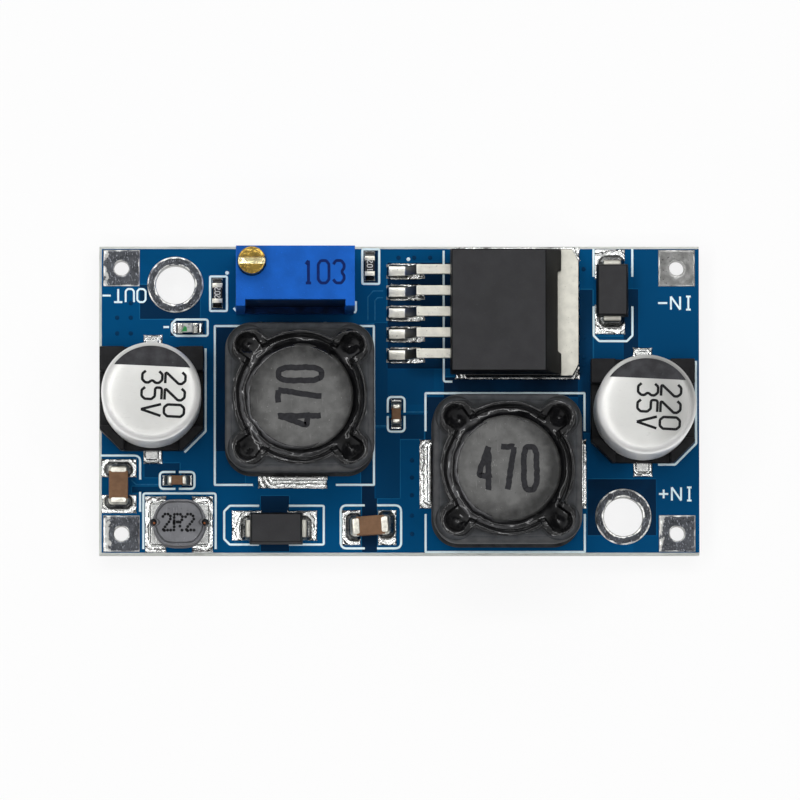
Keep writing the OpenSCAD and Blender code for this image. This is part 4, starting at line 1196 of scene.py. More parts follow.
class MODULE_OT_legend(bpy.types.Operator):
    """Outlines printed round the parts, the two round marks, and the edges of covered traces"""

    bl_idname = "module.legend"
    bl_label = "Printed outlines"

    def execute(self, context):
        level = BOARD_TOP + PRINT_LIFT
        outlines = self.small() + self.big() + self.tall()
        outlines = [[(x, y, level) for x, y in path] for path in outlines]
        values = {"Stroke": size("legend_line") * MM, "Thickness": INK * MM}
        grown("legend_outlines", outlines, stroke_tree, values, "legend_ink", stands_for=("legend",))
        traces = [[(x, y, BOARD_TOP + TRACE_LIFT) for x, y in path] for path in COVERED_TRACES]
        values = {"Stroke": TRACE_WIDE * MM, "Thickness": TRACE_THICK * MM}
        grown("covered_traces", traces, stroke_tree, values, "trace_edge")
        marks = {"resistor_mark": plan("left_resistor_body")[0] + (0.78, 1.66)}
        marks["regulator_mark"] = plan("regulator_body")[0] + (-7.82, 4.4)
        profile = [(0.15, level - 0.01), (0.15, level), (0.12, level + 0.006)]
        for name, at in marks.items():
            solid(name, revolve(profile, at, 20), "legend_ink")
        return {"FINISHED"}

    def small(self):
        """Chips under two millimetres, and the indicator with its minus sign."""
        half, gap, corner = (1.4, 0.68), 0.14, 0.34
        paths = brackets(plan("left_bypass_capacitor_body")[0], half, gap, 0, corner)
        paths += brackets(plan("centre_bypass_capacitor_body")[0], half, gap, 90, corner)
        for name in ("left_resistor_body", "centre_resistor_body"):
            paths += brackets(plan(name)[0] + (0.09, -0.03), half, 0.0, 90, 0.1)
        at = plan("indicator_base")[0] + (0.17, 0.05)
        x, y, cut = 1.45, 0.66, 0.34
        box = [(x, -y), (x, y), (cut - x, y), (-x, y - cut), (-x, cut - y), (cut - x, -y), (x, -y)]
        minus = [(-x - 0.68, 0.05), (-x - 0.23, 0.05)]
        return paths + [turned(box, at), turned(minus, at)]

    def big(self):
        """Large chips, diodes and the filter coil."""
        at = plan("left_chip_capacitor_body")[0]
        x, y, open_half = 1.74, 2.44, 0.5
        rear = eased([(0.3 - x, y), (x, y), (x, open_half)], 0.5)
        paths = [turned(rear, at), turned([(x, -open_half), (x, 0.33 - y)], at)]
        at = plan("front_chip_capacitor_body")[0] + (0.06, -0.06)
        paths += brackets(at, (y, x), open_half, 0, 0.5)
        x, y, cut, gap = 4.02, 1.57, 0.45, 1.2
        point = [(-gap, y), (cut - x, y), (-x, y - cut), (-x, cut - y), (cut - x, -y), (-gap, -y)]
        square = eased([(gap, y), (x, y), (x, -y), (gap, -y)], 0.12)
        at = plan("front_diode_body")[0] + (-0.17, 0.33)
        paths += [turned(point, at), turned(square, at)]
        at = plan("rear_diode_body")[0] + (0.1, 0.0)
        sides = [[(gap, s), (x - 0.57, s)] for s in (y, -y)]
        paths += [turned(path, at, 90) for path in (point, *sides)]
        at = plan("filter_coil_core")[0]
        x, y, foot = 2.92, 2.5, 2.0
        return paths + [turned([(-x, -foot), (-x, y), (x, y), (x, -foot)], at)]

    def tall(self):
        """Inductors, cans, the trimmer's corners and the regulator."""
        half = (SHIELD_HALF + SHIELD_CLEAR, SHIELD_HALF + SHIELD_CLEAR)
        paths = brackets(plan("left_inductor_shield")[0] + (-0.39, -0.22), half, COIL_OPEN, 0)
        paths += brackets(plan("right_inductor_shield")[0] + (-0.02, 0.1), half, COIL_OPEN, 90)
        for name, foot in (("left_capacitor_base", 0.0), ("right_capacitor_base", 1.39)):
            at, reach = plan(name)
            side, rear, cut = reach[0] + 0.15, reach[1] - 0.075, 1.7
            front = cut - reach[1] - 0.075
            path = [(side, rear), (side, front), (side - cut, front - cut)]
            if foot:
                path.append((side - cut - foot, front - cut))
            paths.append(turned(path, at))
        at, reach = plan("trimmer_housing")
        x, y, leg = reach[0] + 0.185, 0.175 - reach[1], 0.35
        paths.append(turned([(x, y + 0.9), (x, y), (x - leg, y)], at))
        paths.append(turned([(2 * leg - x, y), (leg - x, y), (-x, y + leg)], at))
        at, reach = plan("regulator_body")
        x, y = -reach[0] - 0.47, -reach[1] - 0.42
        return paths + [turned([(x, reach[1]), (x, y), (x + 0.69, y)], at)]


class MODULE_OT_labels(bpy.types.Operator):
    """Terminal labels beside the wire pads"""

    bl_idname = "module.labels"
    bl_label = "Terminal labels"

    def execute(self, context):
        level, tall = BOARD_TOP + PRINT_LIFT, size("label_height")
        output = [("OUT-", tall, (-22.25, 8.52, level), 180)]
        inputs = [("IN-", tall, (22.36, 7.92, level), 180), ("IN+", tall, (22.4, -7.55, level), 180)]
        for name, marks, width in (("output_label", output, 0.95), ("input_labels", inputs, 1.05)):
            printed(name, marks, size("label_line"), "legend_ink", width=width)
        return {"FINISHED"}


# Which terminals stand in solder: how high it climbs as a share of their height, how far it runs out,
# and the unrest of its skin; below 1, flow lines follow the terminal over the whole land
WETTED = (
    ("left_chip_capacitor_ends front_chip_capacitor_ends", 0.5, 0.44, 1.0),
    ("left_bypass_capacitor_ends centre_bypass_capacitor_ends", 0.6, 0.36, 1.0),
    ("left_resistor_ends centre_resistor_ends", 0.9, 0.6, 1.0),
    ("indicator_ends", 0.6, 0.3, 1.0),
    ("left_inductor_terminals right_inductor_terminals", 0.1, 0.14, 0.3),
    ("left_capacitor_leads right_capacitor_leads", 0.9, 0.14, 0.4),
    ("rear_diode_leads front_diode_leads", 0.8, 0.5, 1.0),
    ("filter_coil_terminals", 0.3, 0.2, 0.65),
    ("regulator_leads", 0.8, 0.22, 1.0),
    ("regulator_tab", 0.4, 0.13, 0.4),
)
# Length and height of a regulator lead's foot, and the corners cut from the tab
FOOT_LENGTH, FOOT_HEIGHT, TAB_CUT = 1.62, 0.5, (0.5, 0.93)
# Corners cut from other terminals, at most and as a share of their sides
PLAIN_CUT, CUT_SHARE = 0.16, 0.3
# Solder bulges past the narrow lands of the regulator's leads and ends in round corners there
NARROW_DEPTH, NARROW_SHAPE, LEAD_BULGE, LEAD_CORNER = 1.3, 2.2, 0.09, 0.42
# The land under the tab is so wide, and only this border of it is seen
TAB_LAND, TAB_BORDER = 9, 1.2
# Corner radius of a land, its mesh, the same under the tab, and the width of the pool's own meniscus
LAND_CORNER, LAND_STEP, TAB_STEP, POOL_EDGE = 0.1, 0.065, 0.08, 0.08
# Points this far off still count as on the land, and the angle up to which pools are shaded smooth
NEAR, POOL_SHARP = 0.02, 70.0


def cut_corners(low, high, cut):
    """The plan of a box with its corners cut off, anticlockwise."""
    (left, front), (right, rear) = low[:2], high[:2]
    return np.array([
        (left + cut[0], front), (right - cut[0], front), (right, front + cut[1]), (right, rear - cut[1]),
        (right - cut[0], rear), (left + cut[0], rear), (left, rear - cut[1]), (left, front + cut[1]),
    ])


def away_from(xs, ys, outline):
    """Distance of each point from a convex outline that runs anticlockwise, and 0 inside it."""
    inside = np.ones(np.shape(xs), bool)
    nearest = np.full(np.shape(xs), np.inf)
    for (ax, ay), (bx, by) in zip(outline, np.roll(outline, -1, axis=0)):
        dx, dy = bx - ax, by - ay
        inside &= dx * (ys - ay) - dy * (xs - ax) >= 0
        share = np.clip(((xs - ax) * dx + (ys - ay) * dy) / (dx * dx + dy * dy), 0, 1)
        nearest = np.minimum(nearest, np.hypot(xs - ax - share * dx, ys - ay - share * dy))
    return np.where(inside, 0, nearest)


class MODULE_OT_solder(bpy.types.Operator):
    """Solder on every land, drawn up against the terminal that stands in it"""

    bl_idname = "module.solder"
    bl_label = "Solder"

    def execute(self, context):
        terminals = self.terminals()
        lands = enumerate(islands("component_lands"))
        pools = [self.pool(order, *land, terminals) for order, land in lands]
        made = joined([pool[:2] for pool in pools])
        values = {key: np.concatenate([pool[2][key] for pool in pools]) for key in pools[0][2]}
        stands_for = ("solder_fillets",)
        solid("solder_pools", made, "solder", stands_for, sharp=POOL_SHARP, values=values, orient=False)
        return {"FINISHED"}

    def terminals(self):
        """The outline, climb, run and unrest of every terminal that stands in solder."""
        found = []
        for nodes, share, run, unrest in WETTED:
            for node in nodes.split():
                for low, high in islands(node):
                    cut = np.minimum(PLAIN_CUT, CUT_SHARE * (high - low)[:2])
                    if node == "regulator_leads":
                        high = np.array([low[0] + FOOT_LENGTH, high[1], low[2] + FOOT_HEIGHT])
                    if node == "regulator_tab":
                        cut = TAB_CUT
                    found.append((cut_corners(low, high, cut), share * (high[2] - low[2]), run, unrest))
        return found

    def pool(self, order, low, high, terminals):
        """The points and faces of the solder on one land, with what its finish reads at each point."""
        wide, deep = high[0] - low[0], high[1] - low[1]
        under_tab = wide > TAB_LAND
        corner = LAND_CORNER
        if wide > NARROW_SHAPE * deep and deep < NARROW_DEPTH:
            low[1], high[1], corner = low[1] - LEAD_BULGE, high[1] + LEAD_BULGE, LEAD_CORNER
        step = TAB_STEP if under_tab else LAND_STEP
        xs = np.linspace(low[0], high[0], max(6, int(wide / step)))
        ys = np.linspace(low[1], high[1], max(6, int(deep / step)))
        grid_x, grid_y = np.meshgrid(xs, ys)
        over_x = np.maximum(low[0] + corner - grid_x, grid_x - high[0] + corner)
        over_y = np.maximum(low[1] + corner - grid_y, grid_y - high[1] + corner)
        outside = np.hypot(np.maximum(over_x, 0), np.maximum(over_y, 0))
        inset = corner - outside - np.minimum(np.maximum(over_x, over_y), 0)
        reaches = [(away_from(grid_x, grid_y, outline), *rest) for outline, *rest in terminals]
        reaches = [reach for reach in reaches if reach[0].min() <= NEAR]
        unrest = min([reach[3] for reach in reaches], default=1.0)
        rough = wobble(grid_x, grid_y, 0.55, order) + 0.5 * wobble(grid_x, grid_y, 0.25, order + 50)
        rise = size("film") * np.sqrt(np.clip(inset / POOL_EDGE, 0, 1)) * (1 + 0.4 * unrest * rough)
        wet, contour = np.zeros(rise.shape), inset
        for away, climb, run, calm in reaches:
            fillet = climb * (1 - np.clip(away / run, 0, 1)) ** 2 * np.clip(inset / 0.06, 0, 1)
            rise = np.maximum(rise, fillet)
            wet = np.maximum(wet, np.clip(fillet / 0.05, 0, 1))
            contour = away if calm < 1 else np.minimum(away, 1.5 * run + 0.1)
        insets = [inset[1:, 1:], inset[:-1, :-1], inset[1:, :-1], inset[:-1, 1:]]
        keep = np.min(insets, axis=0) > -NEAR
        if under_tab:
            keep &= np.min(insets[:2], axis=0) < TAB_BORDER
        bottom = np.full(rise.shape, high[2] - 0.004)
        verts, faces, source = cell_sheet(xs, ys, keep, high[2] + 0.001 + rise, bottom)
        values = {"fillet": wet.ravel()[source], "contour": contour.ravel()[source]}
        return verts, faces, {**values, "unrest": np.full(len(verts), unrest)}


# The trimmer's open front: side posts, height of the ledge and depth of the recess
POST, LEDGE, RECESS = 0.75, 0.9, 0.53
# The dark sheet over the ledge, a painted shadow, laps over its sides by this much, and stands this much
# above it
SHADOW_LAP, SHADOW_RISE = 0.03, 0.06
# Depth of the screw's slot, and how near its floor counts as milled
SLOT_DEPTH, SLOT_NEAR = 0.7, 0.12


class MODULE_OT_trimmer(bpy.types.Operator):
    """Blue multi-turn trimmer with its brass screw, a dark sheet on its ledge as painted shadow, and value
    print
    """

    bl_idname = "module.trimmer"
    bl_label = "Trimmer"

    def execute(self, context):
        softened("trimmer_housing", size("moulding_edge"))
        screw = softened("trimmer_screw", 0.07, body="screw").data
        slot_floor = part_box("trimmer_screw")[1].z - SLOT_DEPTH * MM
        mark_points(screw, "milled", [abs(v.co.z - slot_floor) < SLOT_NEAR * MM for v in screw.vertices])
        x, y, top = middle("trimmer_housing")
        # A dark sheet over the ledge at the foot of the open front, as painted shadow
        lowest, highest = corners("trimmer_housing")
        ledge = lowest[2] + LEDGE
        low = (lowest[0] + POST - SHADOW_LAP, lowest[1] - 0.01, ledge - SHADOW_LAP)
        high = (highest[0] - POST + SHADOW_LAP, lowest[1] + RECESS + SHADOW_LAP, ledge + SHADOW_RISE)
        solid("trimmer_shadow_ledge", rounded_block(low, high, 0.03), "blue_resin")
        marks = [("103", 1.8, (x + 2.25, y + 0.3, top + 0.001), 0)]
        printed("trimmer_value", marks, 0.235, "trimmer_print", 0.01, 0.72)
        return {"FINISHED"}


# Where the rise of a lead starts from its toe, how long it is, and between which shares of its height
RISE_START, RISE_LENGTH, RISE_LOW, RISE_HIGH = 1.3, 1.1, 0.2, 0.995
# The round notch on each side of the tab: how far in from the tab's end, its radius, and its solder's drop
NOTCH_IN, NOTCH_RADIUS, NOTCH_DROP = 1.07, 0.31, 0.05


class MODULE_OT_regulator(bpy.types.Operator):
    """Moulded regulator with its tab and formed leads"""

    bl_idname = "module.regulator"
    bl_label = "Regulator"

    def execute(self, context):
        softened("regulator_body", size("moulding_edge"))
        softened("regulator_tab", 0.1)
        low, high = corners("regulator_tab")
        arc = np.linspace(0, math.pi, 13)
        for side, edge, inward in (("front", low[1], NOTCH_RADIUS), ("rear", high[1], -NOTCH_RADIUS)):
            spots = [high[0] - NOTCH_IN + NOTCH_RADIUS * np.cos(arc), edge + inward * np.sin(arc)]
            levels = (low[2], high[2] - NOTCH_DROP)
            rings = [np.stack(spots + [np.full(len(arc), z)], axis=1) for z in levels]
            solid(side + "_notch_solder", loft(rings), "tinned_lead")
        leads = softened("regulator_leads", size("lead_edge"), "formed_lead").data
        # The sloping rise between foot and shoulder turns away from the light
        low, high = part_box("regulator_leads")
        start = low.x + RISE_START * MM
        shares = []
        for vert in leads.vertices:
            up = (vert.co.z - low.z) / (high.z - low.z)
            sloping = start < vert.co.x < start + RISE_LENGTH * MM and RISE_LOW < up < RISE_HIGH
            shares.append(0.35 + 0.65 * up if sloping else 0.0)
        mark_points(leads, "rise", shares)
        return {"FINISHED"}


# A shield's half width, corner radius, rounding at foot and opening, and how much painted shade darkens its
# rear
SHIELD_HALF, SHIELD_CORNER, FOOT_EDGE, INNER_EDGE, REAR_SHADE = 6.0, 2.2, 0.3, 0.45, 0.35
# The shield's round opening, the distance of its corner lobes and their radius
OPENING, LOBE_OUT, LOBE = 5.0, 4.15 * math.sqrt(2), 1.2
# The glue's lobes, the ease of their corners, and how far out its dimples lie
DIMPLE, DIMPLE_EASE, DIMPLE_OUT = 0.85, 1.1, 4.1
# The glue's bed under the shield's top, its valley under the core's top, and the side where it is fullest
GLUE_BED, GLUE_VALLEY, GLUE_FULL = 1.5, 0.72, math.radians(198)
# Rings of the glue, its flow ridges in radians for each millimetre, and their height
GLUE_RINGS, GLUE_FLOW, GLUE_FLOW_HIGH = 60, 11.0, 0.024
# Rounding of a core's top edge, and how many rings its top has
CORE_EDGE, CORE_RINGS = 0.28, 19


def shield_reach(inset):
    """The shield's outline drawn in by inset."""
    return square_reach(SHIELD_HALF - inset, SHIELD_CORNER - inset)


def opening_reach(growth, corner=LOBE, ease=0.2):
    """How far the shield's opening reaches in each direction, its lobes eased into its circle."""
    folded = np.abs(TURN % (math.pi / 2) - math.pi / 4)
    lobe = corner + growth
    under = lobe**2 - (LOBE_OUT * np.sin(folded)) ** 2
    reach = np.where(under > 0, LOBE_OUT * np.cos(folded) + np.sqrt(np.maximum(under, 0)), 0)
    plain = np.full(TURNS, OPENING + growth)
    share = np.clip(0.5 + 0.5 * (reach - plain) / ease, 0, 1)
    return plain + (reach - plain) * share + ease * share * (1 - share)


class MODULE_OT_inductors(bpy.types.Operator):
    """Shielded power inductors: ferrite ring, ground core, black glue and terminals"""

    bl_idname = "module.inductors"
    bl_label = "Inductors"

    def execute(self, context):
        for side, turn in (("left", 90), ("right", 0)):
            self.shield(side)
            self.glue(side)
            self.core(side, turn)
            softened(side + "_inductor_terminals", size("lead_edge"), "solder")
        return {"FINISHED"}

    def shield(self, side):
        """Ferrite ring from its foot over its rounded top to the opening, with how pale each ring is and
        painted shade on its rear.
        """
        node = side + "_inductor_shield"
        x, y, top = middle(node)
        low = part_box(node)[0].z / MM
        edge = size("shield_edge")
        steps = np.linspace(0, math.pi / 2, 8)
        rings, paleness_and_shade = [], []
        for a in steps:
            reach = shield_reach(FOOT_EDGE * (1 - math.cos(a)))
            rings.append(ring_at(reach, low + FOOT_EDGE * (1 - math.sin(a)), (x, y)))
            paleness_and_shade.append(0.6)
        for a in steps:
            reach = shield_reach(edge * (1 - math.cos(a)))
            rings.append(ring_at(reach, top - edge * (1 - math.sin(a)), (x, y)))
            paleness_and_shade.append(0.3 + 0.6 * math.sin(2 * a))
        outer, inner = shield_reach(edge), opening_reach(INNER_EDGE)
        for share in np.linspace(0.05, 0.95, 12):
            spots = ring_at(outer * (1 - share) + inner * share, top, (x, y))
            spots[:, 2] -= 0.02 + 0.03 * wobble(spots[:, 0], spots[:, 1], 1.3, 3.0)
            rings.append(spots)
            paleness_and_shade.append(0.62 - 0.7 * share)
        for a in steps:
            reach = opening_reach(INNER_EDGE * (1 - math.sin(a)))
            rings.append(ring_at(reach, top - INNER_EDGE * (1 - math.cos(a)), (x, y)))
            paleness_and_shade.append(0.0)
        rings.append(ring_at(opening_reach(0), low, (x, y)))
        paleness_and_shade.append(0.2)
        # Painted shade darkens the rear of the shield
        rear_shade = REAR_SHADE * np.maximum(np.sin(TURN), 0)
        values = {"paleness_and_shade": np.subtract.outer(paleness_and_shade, rear_shade).ravel()}
        solid(side + "_shield", loft(rings, True), "shield_ferrite", (node,), values=values)

    def glue(self, side):
        """Black glue: a valley round the core, a ridge over the opening's edge, dimples at the corners."""
        node = side + "_inductor_glue"
        x, y, rim = middle(side + "_inductor_shield")
        core_low, core_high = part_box(side + "_inductor_core")
        top = core_high.z / MM
        seed = 7.0 if side == "left" else 19.0
        inner = np.full(TURNS, (core_high.x - core_low.x) / 2 / MM - 0.3)
        sway = wobble(3 * np.cos(TURN), 3 * np.sin(TURN), 1.6, seed)
        crest = opening_reach(0.02, DIMPLE, DIMPLE_EASE) + 0.1 * sway
        sway = wobble(4 * np.cos(TURN), 4 * np.sin(TURN), 0.9, seed)
        outer = opening_reach(0.55, DIMPLE, DIMPLE_EASE) + 0.16 * sway
        crest_line = ring_at(crest, 0, (0, 0))[:, :2]
        # The glue stands higher at the front left and is drawn into ridges there
        full = 0.5 + 0.5 * np.cos(TURN - GLUE_FULL)
        dimples = [(sx * DIMPLE_OUT, sy * DIMPLE_OUT) for sx in (-1, 1) for sy in (-1, 1)]
        rings = [ring_at(inner, rim - GLUE_BED, (x, y))]
        sheen_rings = [np.zeros(TURNS)]
        for share in np.linspace(0, 1, GLUE_RINGS):
            reach = inner * (1 - share) + outer * share
            out = reach - inner
            spots = ring_at(reach, 0, (0, 0))
            slow = wobble(spots[:, 0], spots[:, 1], 1.5, seed)
            quick = wobble(spots[:, 0], spots[:, 1], 0.5, seed + 3)
            off = np.min(np.hypot(*(spots[:, None, :2] - crest_line[None]).transpose(2, 0, 1)), axis=1)
            # The valley climbs to the core, and flow ridges run round it on the full side
            climb = (0.68 - 0.42 * full) * bell(out, 0.42 + 0.12 * slow)
            drawn = full * np.clip(1.6 - out, 0, 1)
            wave = np.sin(out * GLUE_FLOW + 3.0 * slow + 1.2 * quick)
            valley = top - GLUE_VALLEY + 0.5 * full + climb + 0.1 * slow + GLUE_FLOW_HIGH * drawn * wave
            # A grey sheen is painted along the ridges on the full side
            sheen_rings.append(drawn * (0.5 + 0.5 * wave) * (1 + 0.3 * quick))
            # A thin coat lies on the shield beyond the crest, with a bead along its edge
            coat = rim + 0.012 + (0.03 + 0.03 * quick) * bell(off - 0.3 - 0.08 * slow, 0.08)
            blend = np.clip(0.5 - 0.5 * np.where(reach < crest, off, -off) / 0.2, 0, 1)
            blend = blend * blend * (3 - 2 * blend)
            crown = size("glue_ridge") * (0.9 + 0.9 * slow) * bell(off, 0.12 + 0.04 * quick)
            level = valley * (1 - blend) + coat * blend + crown + 0.012 * quick
            # Each corner has a dimple with a small lump at its side
            for order, (cx, cy) in enumerate(dimples):
                dx, dy = spots[:, 0] - cx + 0.15 * slow, spots[:, 1] - cy - 0.15 * slow
                along = (dx * cx + dy * cy) / math.hypot(cx, cy)
                aside = (dy * cx - dx * cy) / math.hypot(cx, cy)
                level -= (0.5 + 0.04 * order) * bell(along, 0.66) * bell(aside, 0.56)
                level += 0.1 * bell(dx - 0.15, 0.3) * bell(dy - 0.25, 0.22)
            fade = np.clip((outer - reach) / 0.3, 0, 1)
            rings.append(ring_at(reach, level * fade + (rim - 0.05) * (1 - fade), (x, y)))
        rings.append(ring_at(outer, rim - GLUE_BED, (x, y)))
        sheen_rings.append(np.zeros(TURNS))
        values = {"painted_sheen": np.concatenate(sheen_rings[::-1])}
        solid(side + "_glue", loft(rings[::-1], True), "black_glue", (node,), values=values)

    def core(self, side, turn):
        """Ground top of the drum core with its printed value, smeared towards its edge."""
        node = side + "_inductor_core"
        lowest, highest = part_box(node)
        x, y, top = middle(node)
        radius = (highest.x - lowest.x) / 2 / MM
        profile = [(radius, top - 0.6)]
        for a in np.linspace(0, math.pi / 2, 7):
            profile.append((radius - CORE_EDGE * (1 - math.cos(a)), top - CORE_EDGE * (1 - math.sin(a))))
        profile += [(radius - CORE_EDGE - 0.2 * k, top - 0.0002 * k) for k in range(1, CORE_RINGS + 1)]
        verts, faces = revolve(profile, (x, y), 128)
        reach = np.hypot(verts[:, 0] - x, verts[:, 1] - y) / radius
        # The left core is smeared more at its rear, and the right one at its front right
        across, deep = (verts[:, 0] - x) / radius, (verts[:, 1] - y) / radius
        lean = deep - 0.2 * across if side == "left" else across - 0.6 * deep
        values = {"smeared": np.clip((reach + 0.14 * lean - 0.52) / 0.45, 0, 1) ** 1.3}
        solid(side + "_core_top", (verts, faces), "core_ferrite", (node,), values=values)
        marks = [("470", size("core_mark"), (x, y, top + 0.002), turn)]
        printed(side + "_core_value", marks, 0.46, "core_print", INK, 0.45, 7.0, 0.09)


# How square a can's rounded rim is, how far its print is turned, and its segment's reach and chord
CAN_EASE, CAN_TILT, SEGMENT_REACH, SEGMENT_CHORD = 9, -2.6, 3.68, 2.05
# A can's bead: its place above the foot, depth and height; the segment's cells across and deep
BEAD_UP, BEAD_DEEP, BEAD_TALL, SEGMENT_CELLS = 1.1, 0.32, 0.9, (48, 8)


def can_skin(reach, radius, top):
    """Height of a can's crowned top at a distance from its axis, easing over to its wall."""
    rim, crown = size("can_rim"), size("can_crown")
    share = np.minimum(reach / radius, 1)
    return top - crown * share**2 - rim * (1 - np.sqrt(1 - share**CAN_EASE))


class MODULE_OT_capacitors(bpy.types.Operator):
    """Aluminium can capacitors with their polarity print, bases and leads"""

    bl_idname = "module.capacitors"
    bl_label = "Can capacitors"

    def execute(self, context):
        for side in ("left", "right"):
            node = side + "_capacitor_can"
            lowest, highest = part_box(node)
            x, y, top = middle(node)
            low, radius = lowest.z / MM, (highest.x - lowest.x) / 2 / MM
            bead = low + BEAD_UP
            profile = [(radius - 0.25, low), (radius - 0.06, low + 0.12), (radius, low + 0.3)]
            for a in np.linspace(0, math.pi, 13):
                profile.append((radius - BEAD_DEEP * math.sin(a) ** 2, bead + BEAD_TALL * a / math.pi))
            for share in np.linspace(0, 0.97, 44):
                reach = radius * (1 - share**2)
                profile.append((reach, float(can_skin(reach, radius, top))))
            verts, faces = revolve(profile, (x, y), 160)
            across, deep = (verts[:, 0] - x) / radius, (verts[:, 1] - y) / radius
            # A highlight is painted on the rounded edge towards the front left, and painted shade darkens
            # the right can towards its right
            rim_highlight = np.clip((np.hypot(across, deep) - 0.84) / 0.1, 0, 1)
            rim_highlight *= np.clip(0.55 - 0.9 * deep - 0.3 * across, 0, 1)
            rim_highlight *= np.clip(1.4 + 0.6 * (verts[:, 2] - top), 0.45, 1)
            dull = np.clip(0.3 + 1.5 * across + 0.5 * deep, 0, 1) * (side == "right")
            values = {"rim_highlight": rim_highlight, "dull": dull * (1 - rim_highlight)}
            solid(side + "_can", (verts, faces), "can_aluminium", (node,), values=values)
            self.mark(side, x, y, radius, top)
            softened(side + "_capacitor_base", 0.12)
            softened(side + "_capacitor_leads", 0.04, "solder")
        return {"FINISHED"}

    def mark(self, side, x, y, radius, top):
        """The dark polarity segment and the two values, laid on the crowned top."""
        wide, deep = SEGMENT_CELLS
        half = math.sqrt(SEGMENT_REACH**2 - SEGMENT_CHORD**2) * 0.998
        across = np.linspace(-half, half, wide + 1)
        rise = np.linspace(0, 1, deep + 1)[:, None]
        grid_y = SEGMENT_CHORD + (np.sqrt(SEGMENT_REACH**2 - across**2) - SEGMENT_CHORD) * rise
        grid_x = np.broadcast_to(across, grid_y.shape)
        level = can_skin(np.hypot(grid_x, grid_y), radius, top)
        places = spun(grid_x, grid_y, CAN_TILT, (x, y))
        *made, _ = cell_sheet(*places, np.ones((deep, wide), bool), level + 0.008, level - 0.01)
        solid(side + "_can_segment", made, "can_print", orient=False)
        places = turned([(1.9, -0.15), (0.05, -0.15)], (x, y), CAN_TILT)
        tall, level, turn = size("can_mark"), (top + 0.006,), CAN_TILT - 90
        marks = [(text, tall, at + level, turn) for text, at in zip(("220", "35V"), places)]
        name = side + "_can_values"
        ink = printed(name, marks, 0.215, "can_letters", 0.01, 0.88, shake=0.004)
        for vert in ink.data.vertices:
            out = math.hypot(vert.co.x / MM - x, vert.co.y / MM - y)
            vert.co.z += (float(can_skin(out, radius, top)) - top) * MM


class MODULE_OT_diodes(bpy.types.Operator):
    """Moulded diodes and their formed ends"""

    bl_idname = "module.diodes"
    bl_label = "Diodes"

    def execute(self, context):
        for end in ("rear", "front"):
            softened(end + "_diode_body", 0.16)
            leads = softened(end + "_diode_leads", size("lead_edge")).data
            # Each end curves down and away from the light past its middle
            (at, body), (_, reach) = plan(end + "_diode_body"), plan(end + "_diode_leads")
            axis = int(np.argmax(reach))
            outward = [abs(v.co[axis] / MM - at[axis]) - body[axis] for v in leads.vertices]
            shares = [1.8 * out / (reach[axis] - body[axis]) - 0.8 for out in outward]
            mark_points(leads, "rise", shares)
        return {"FINISHED"}


# Chips as turn, rounding of the tin on their ends, and how far it creeps over the body
CHIPS = {
    "left_chip_capacitor": (0, 0.34, 0.14),
    "front_chip_capacitor": (4, 0.34, 0.28),
    "left_bypass_capacitor": (0, 0.2, 0.08),
    "centre_bypass_capacitor": (0, 0.2, 0.08),
}
# A chip's body: reach into its ends, drop under their faces, rounding, and angle of its smooth shading
CHIP_LAP, CHIP_INSET, CHIP_EDGE, CHIP_SHARP = 0.15, 0.02, 0.06, 60.0


class MODULE_OT_chips(bpy.types.Operator):
    """Chip capacitors and chip resistors"""

    bl_idname = "module.chips"
    bl_label = "Chips"

    def execute(self, context):
        for name, (turn, bulge, over) in CHIPS.items():
            self.body(name, turn)
            self.ends(name, turn, bulge, over)
        marks = []
        for name, value in (("left_resistor", "202"), ("centre_resistor", "102")):
            softened(name + "_ends", 0.08)
            x, y, top = middle(name + "_coat")
            marks.append((value, 0.42, (x, y, top + 0.001), 90))
        printed("resistor_values", marks, 0.065, "value_print", 0.008, 0.8)
        return {"FINISHED"}

    def body(self, name, turn):
        """Ceramic between the plated ends."""
        node = name + "_body"
        about = middle(node)[:2]
        low, high = islands(node, turn, about)[0]
        along = int(np.argmax((high - low)[:2]))
        first, last = sorted(islands(name + "_ends", turn, about), key=lambda box: box[0][along])
        low[along] = first[1][along] - CHIP_LAP
        high[along] = last[0][along] + CHIP_LAP
        low[2] += CHIP_INSET
        high[2] -= CHIP_INSET
        made = rounded_block(low, high, CHIP_EDGE, turn, about)
        solid(node + "_finish", made, "brown_ceramic", (node,), sharp=CHIP_SHARP)

    def ends(self, name, turn, bulge, over):
        """Plated ends, rounded like a drop by the tin, which creeps a little way over the body."""
        node = name + "_ends"
        about = middle(node)[:2]
        parts = []
        for low, high in islands(node, turn, about):
            along = int(np.argmax(np.abs((low + high)[:2] / 2 - about)))
            if low[along] + high[along] < 2 * about[along]:
                high[along] += over
            else:
                low[along] -= over
            parts.append(rounded_block(low, high, bulge, turn, about))
        solid(node + "_finish", joined(parts), "tinned_end", (node,), sharp=CHIP_SHARP)


class MODULE_OT_indicator(bpy.types.Operator):
    """Indicator with its clear lens and green polarity patch"""

    bl_idname = "module.indicator"
    bl_label = "Indicator"

    def execute(self, context):
        softened("indicator_lens", 0.08)
        softened("indicator_ends", 0.05)
        x, y, _ = middle("indicator_base")
        lens_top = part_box("indicator_lens")[1].z / MM
        patch = [(-0.5, -0.3, 0), (-0.05, -0.3, 0), (-0.08, 0.02, 0), (-0.24, 0.16, 0)]
        ring = np.array(patch) + (x, y, 0)
        made = loft([ring + (0, 0, lens_top - 0.02), ring + (0, 0, lens_top + 0.006)])
        solid("indicator_patch", made, "green_print")
        return {"FINISHED"}


# The filter coil's drum: thickness of a flange, half sizes of the upper one, radius of its post
FLANGE, UPPER_HALF, UPPER_FLAT, DRUM_POST = 0.75, 2.12, 1.87, 1.0
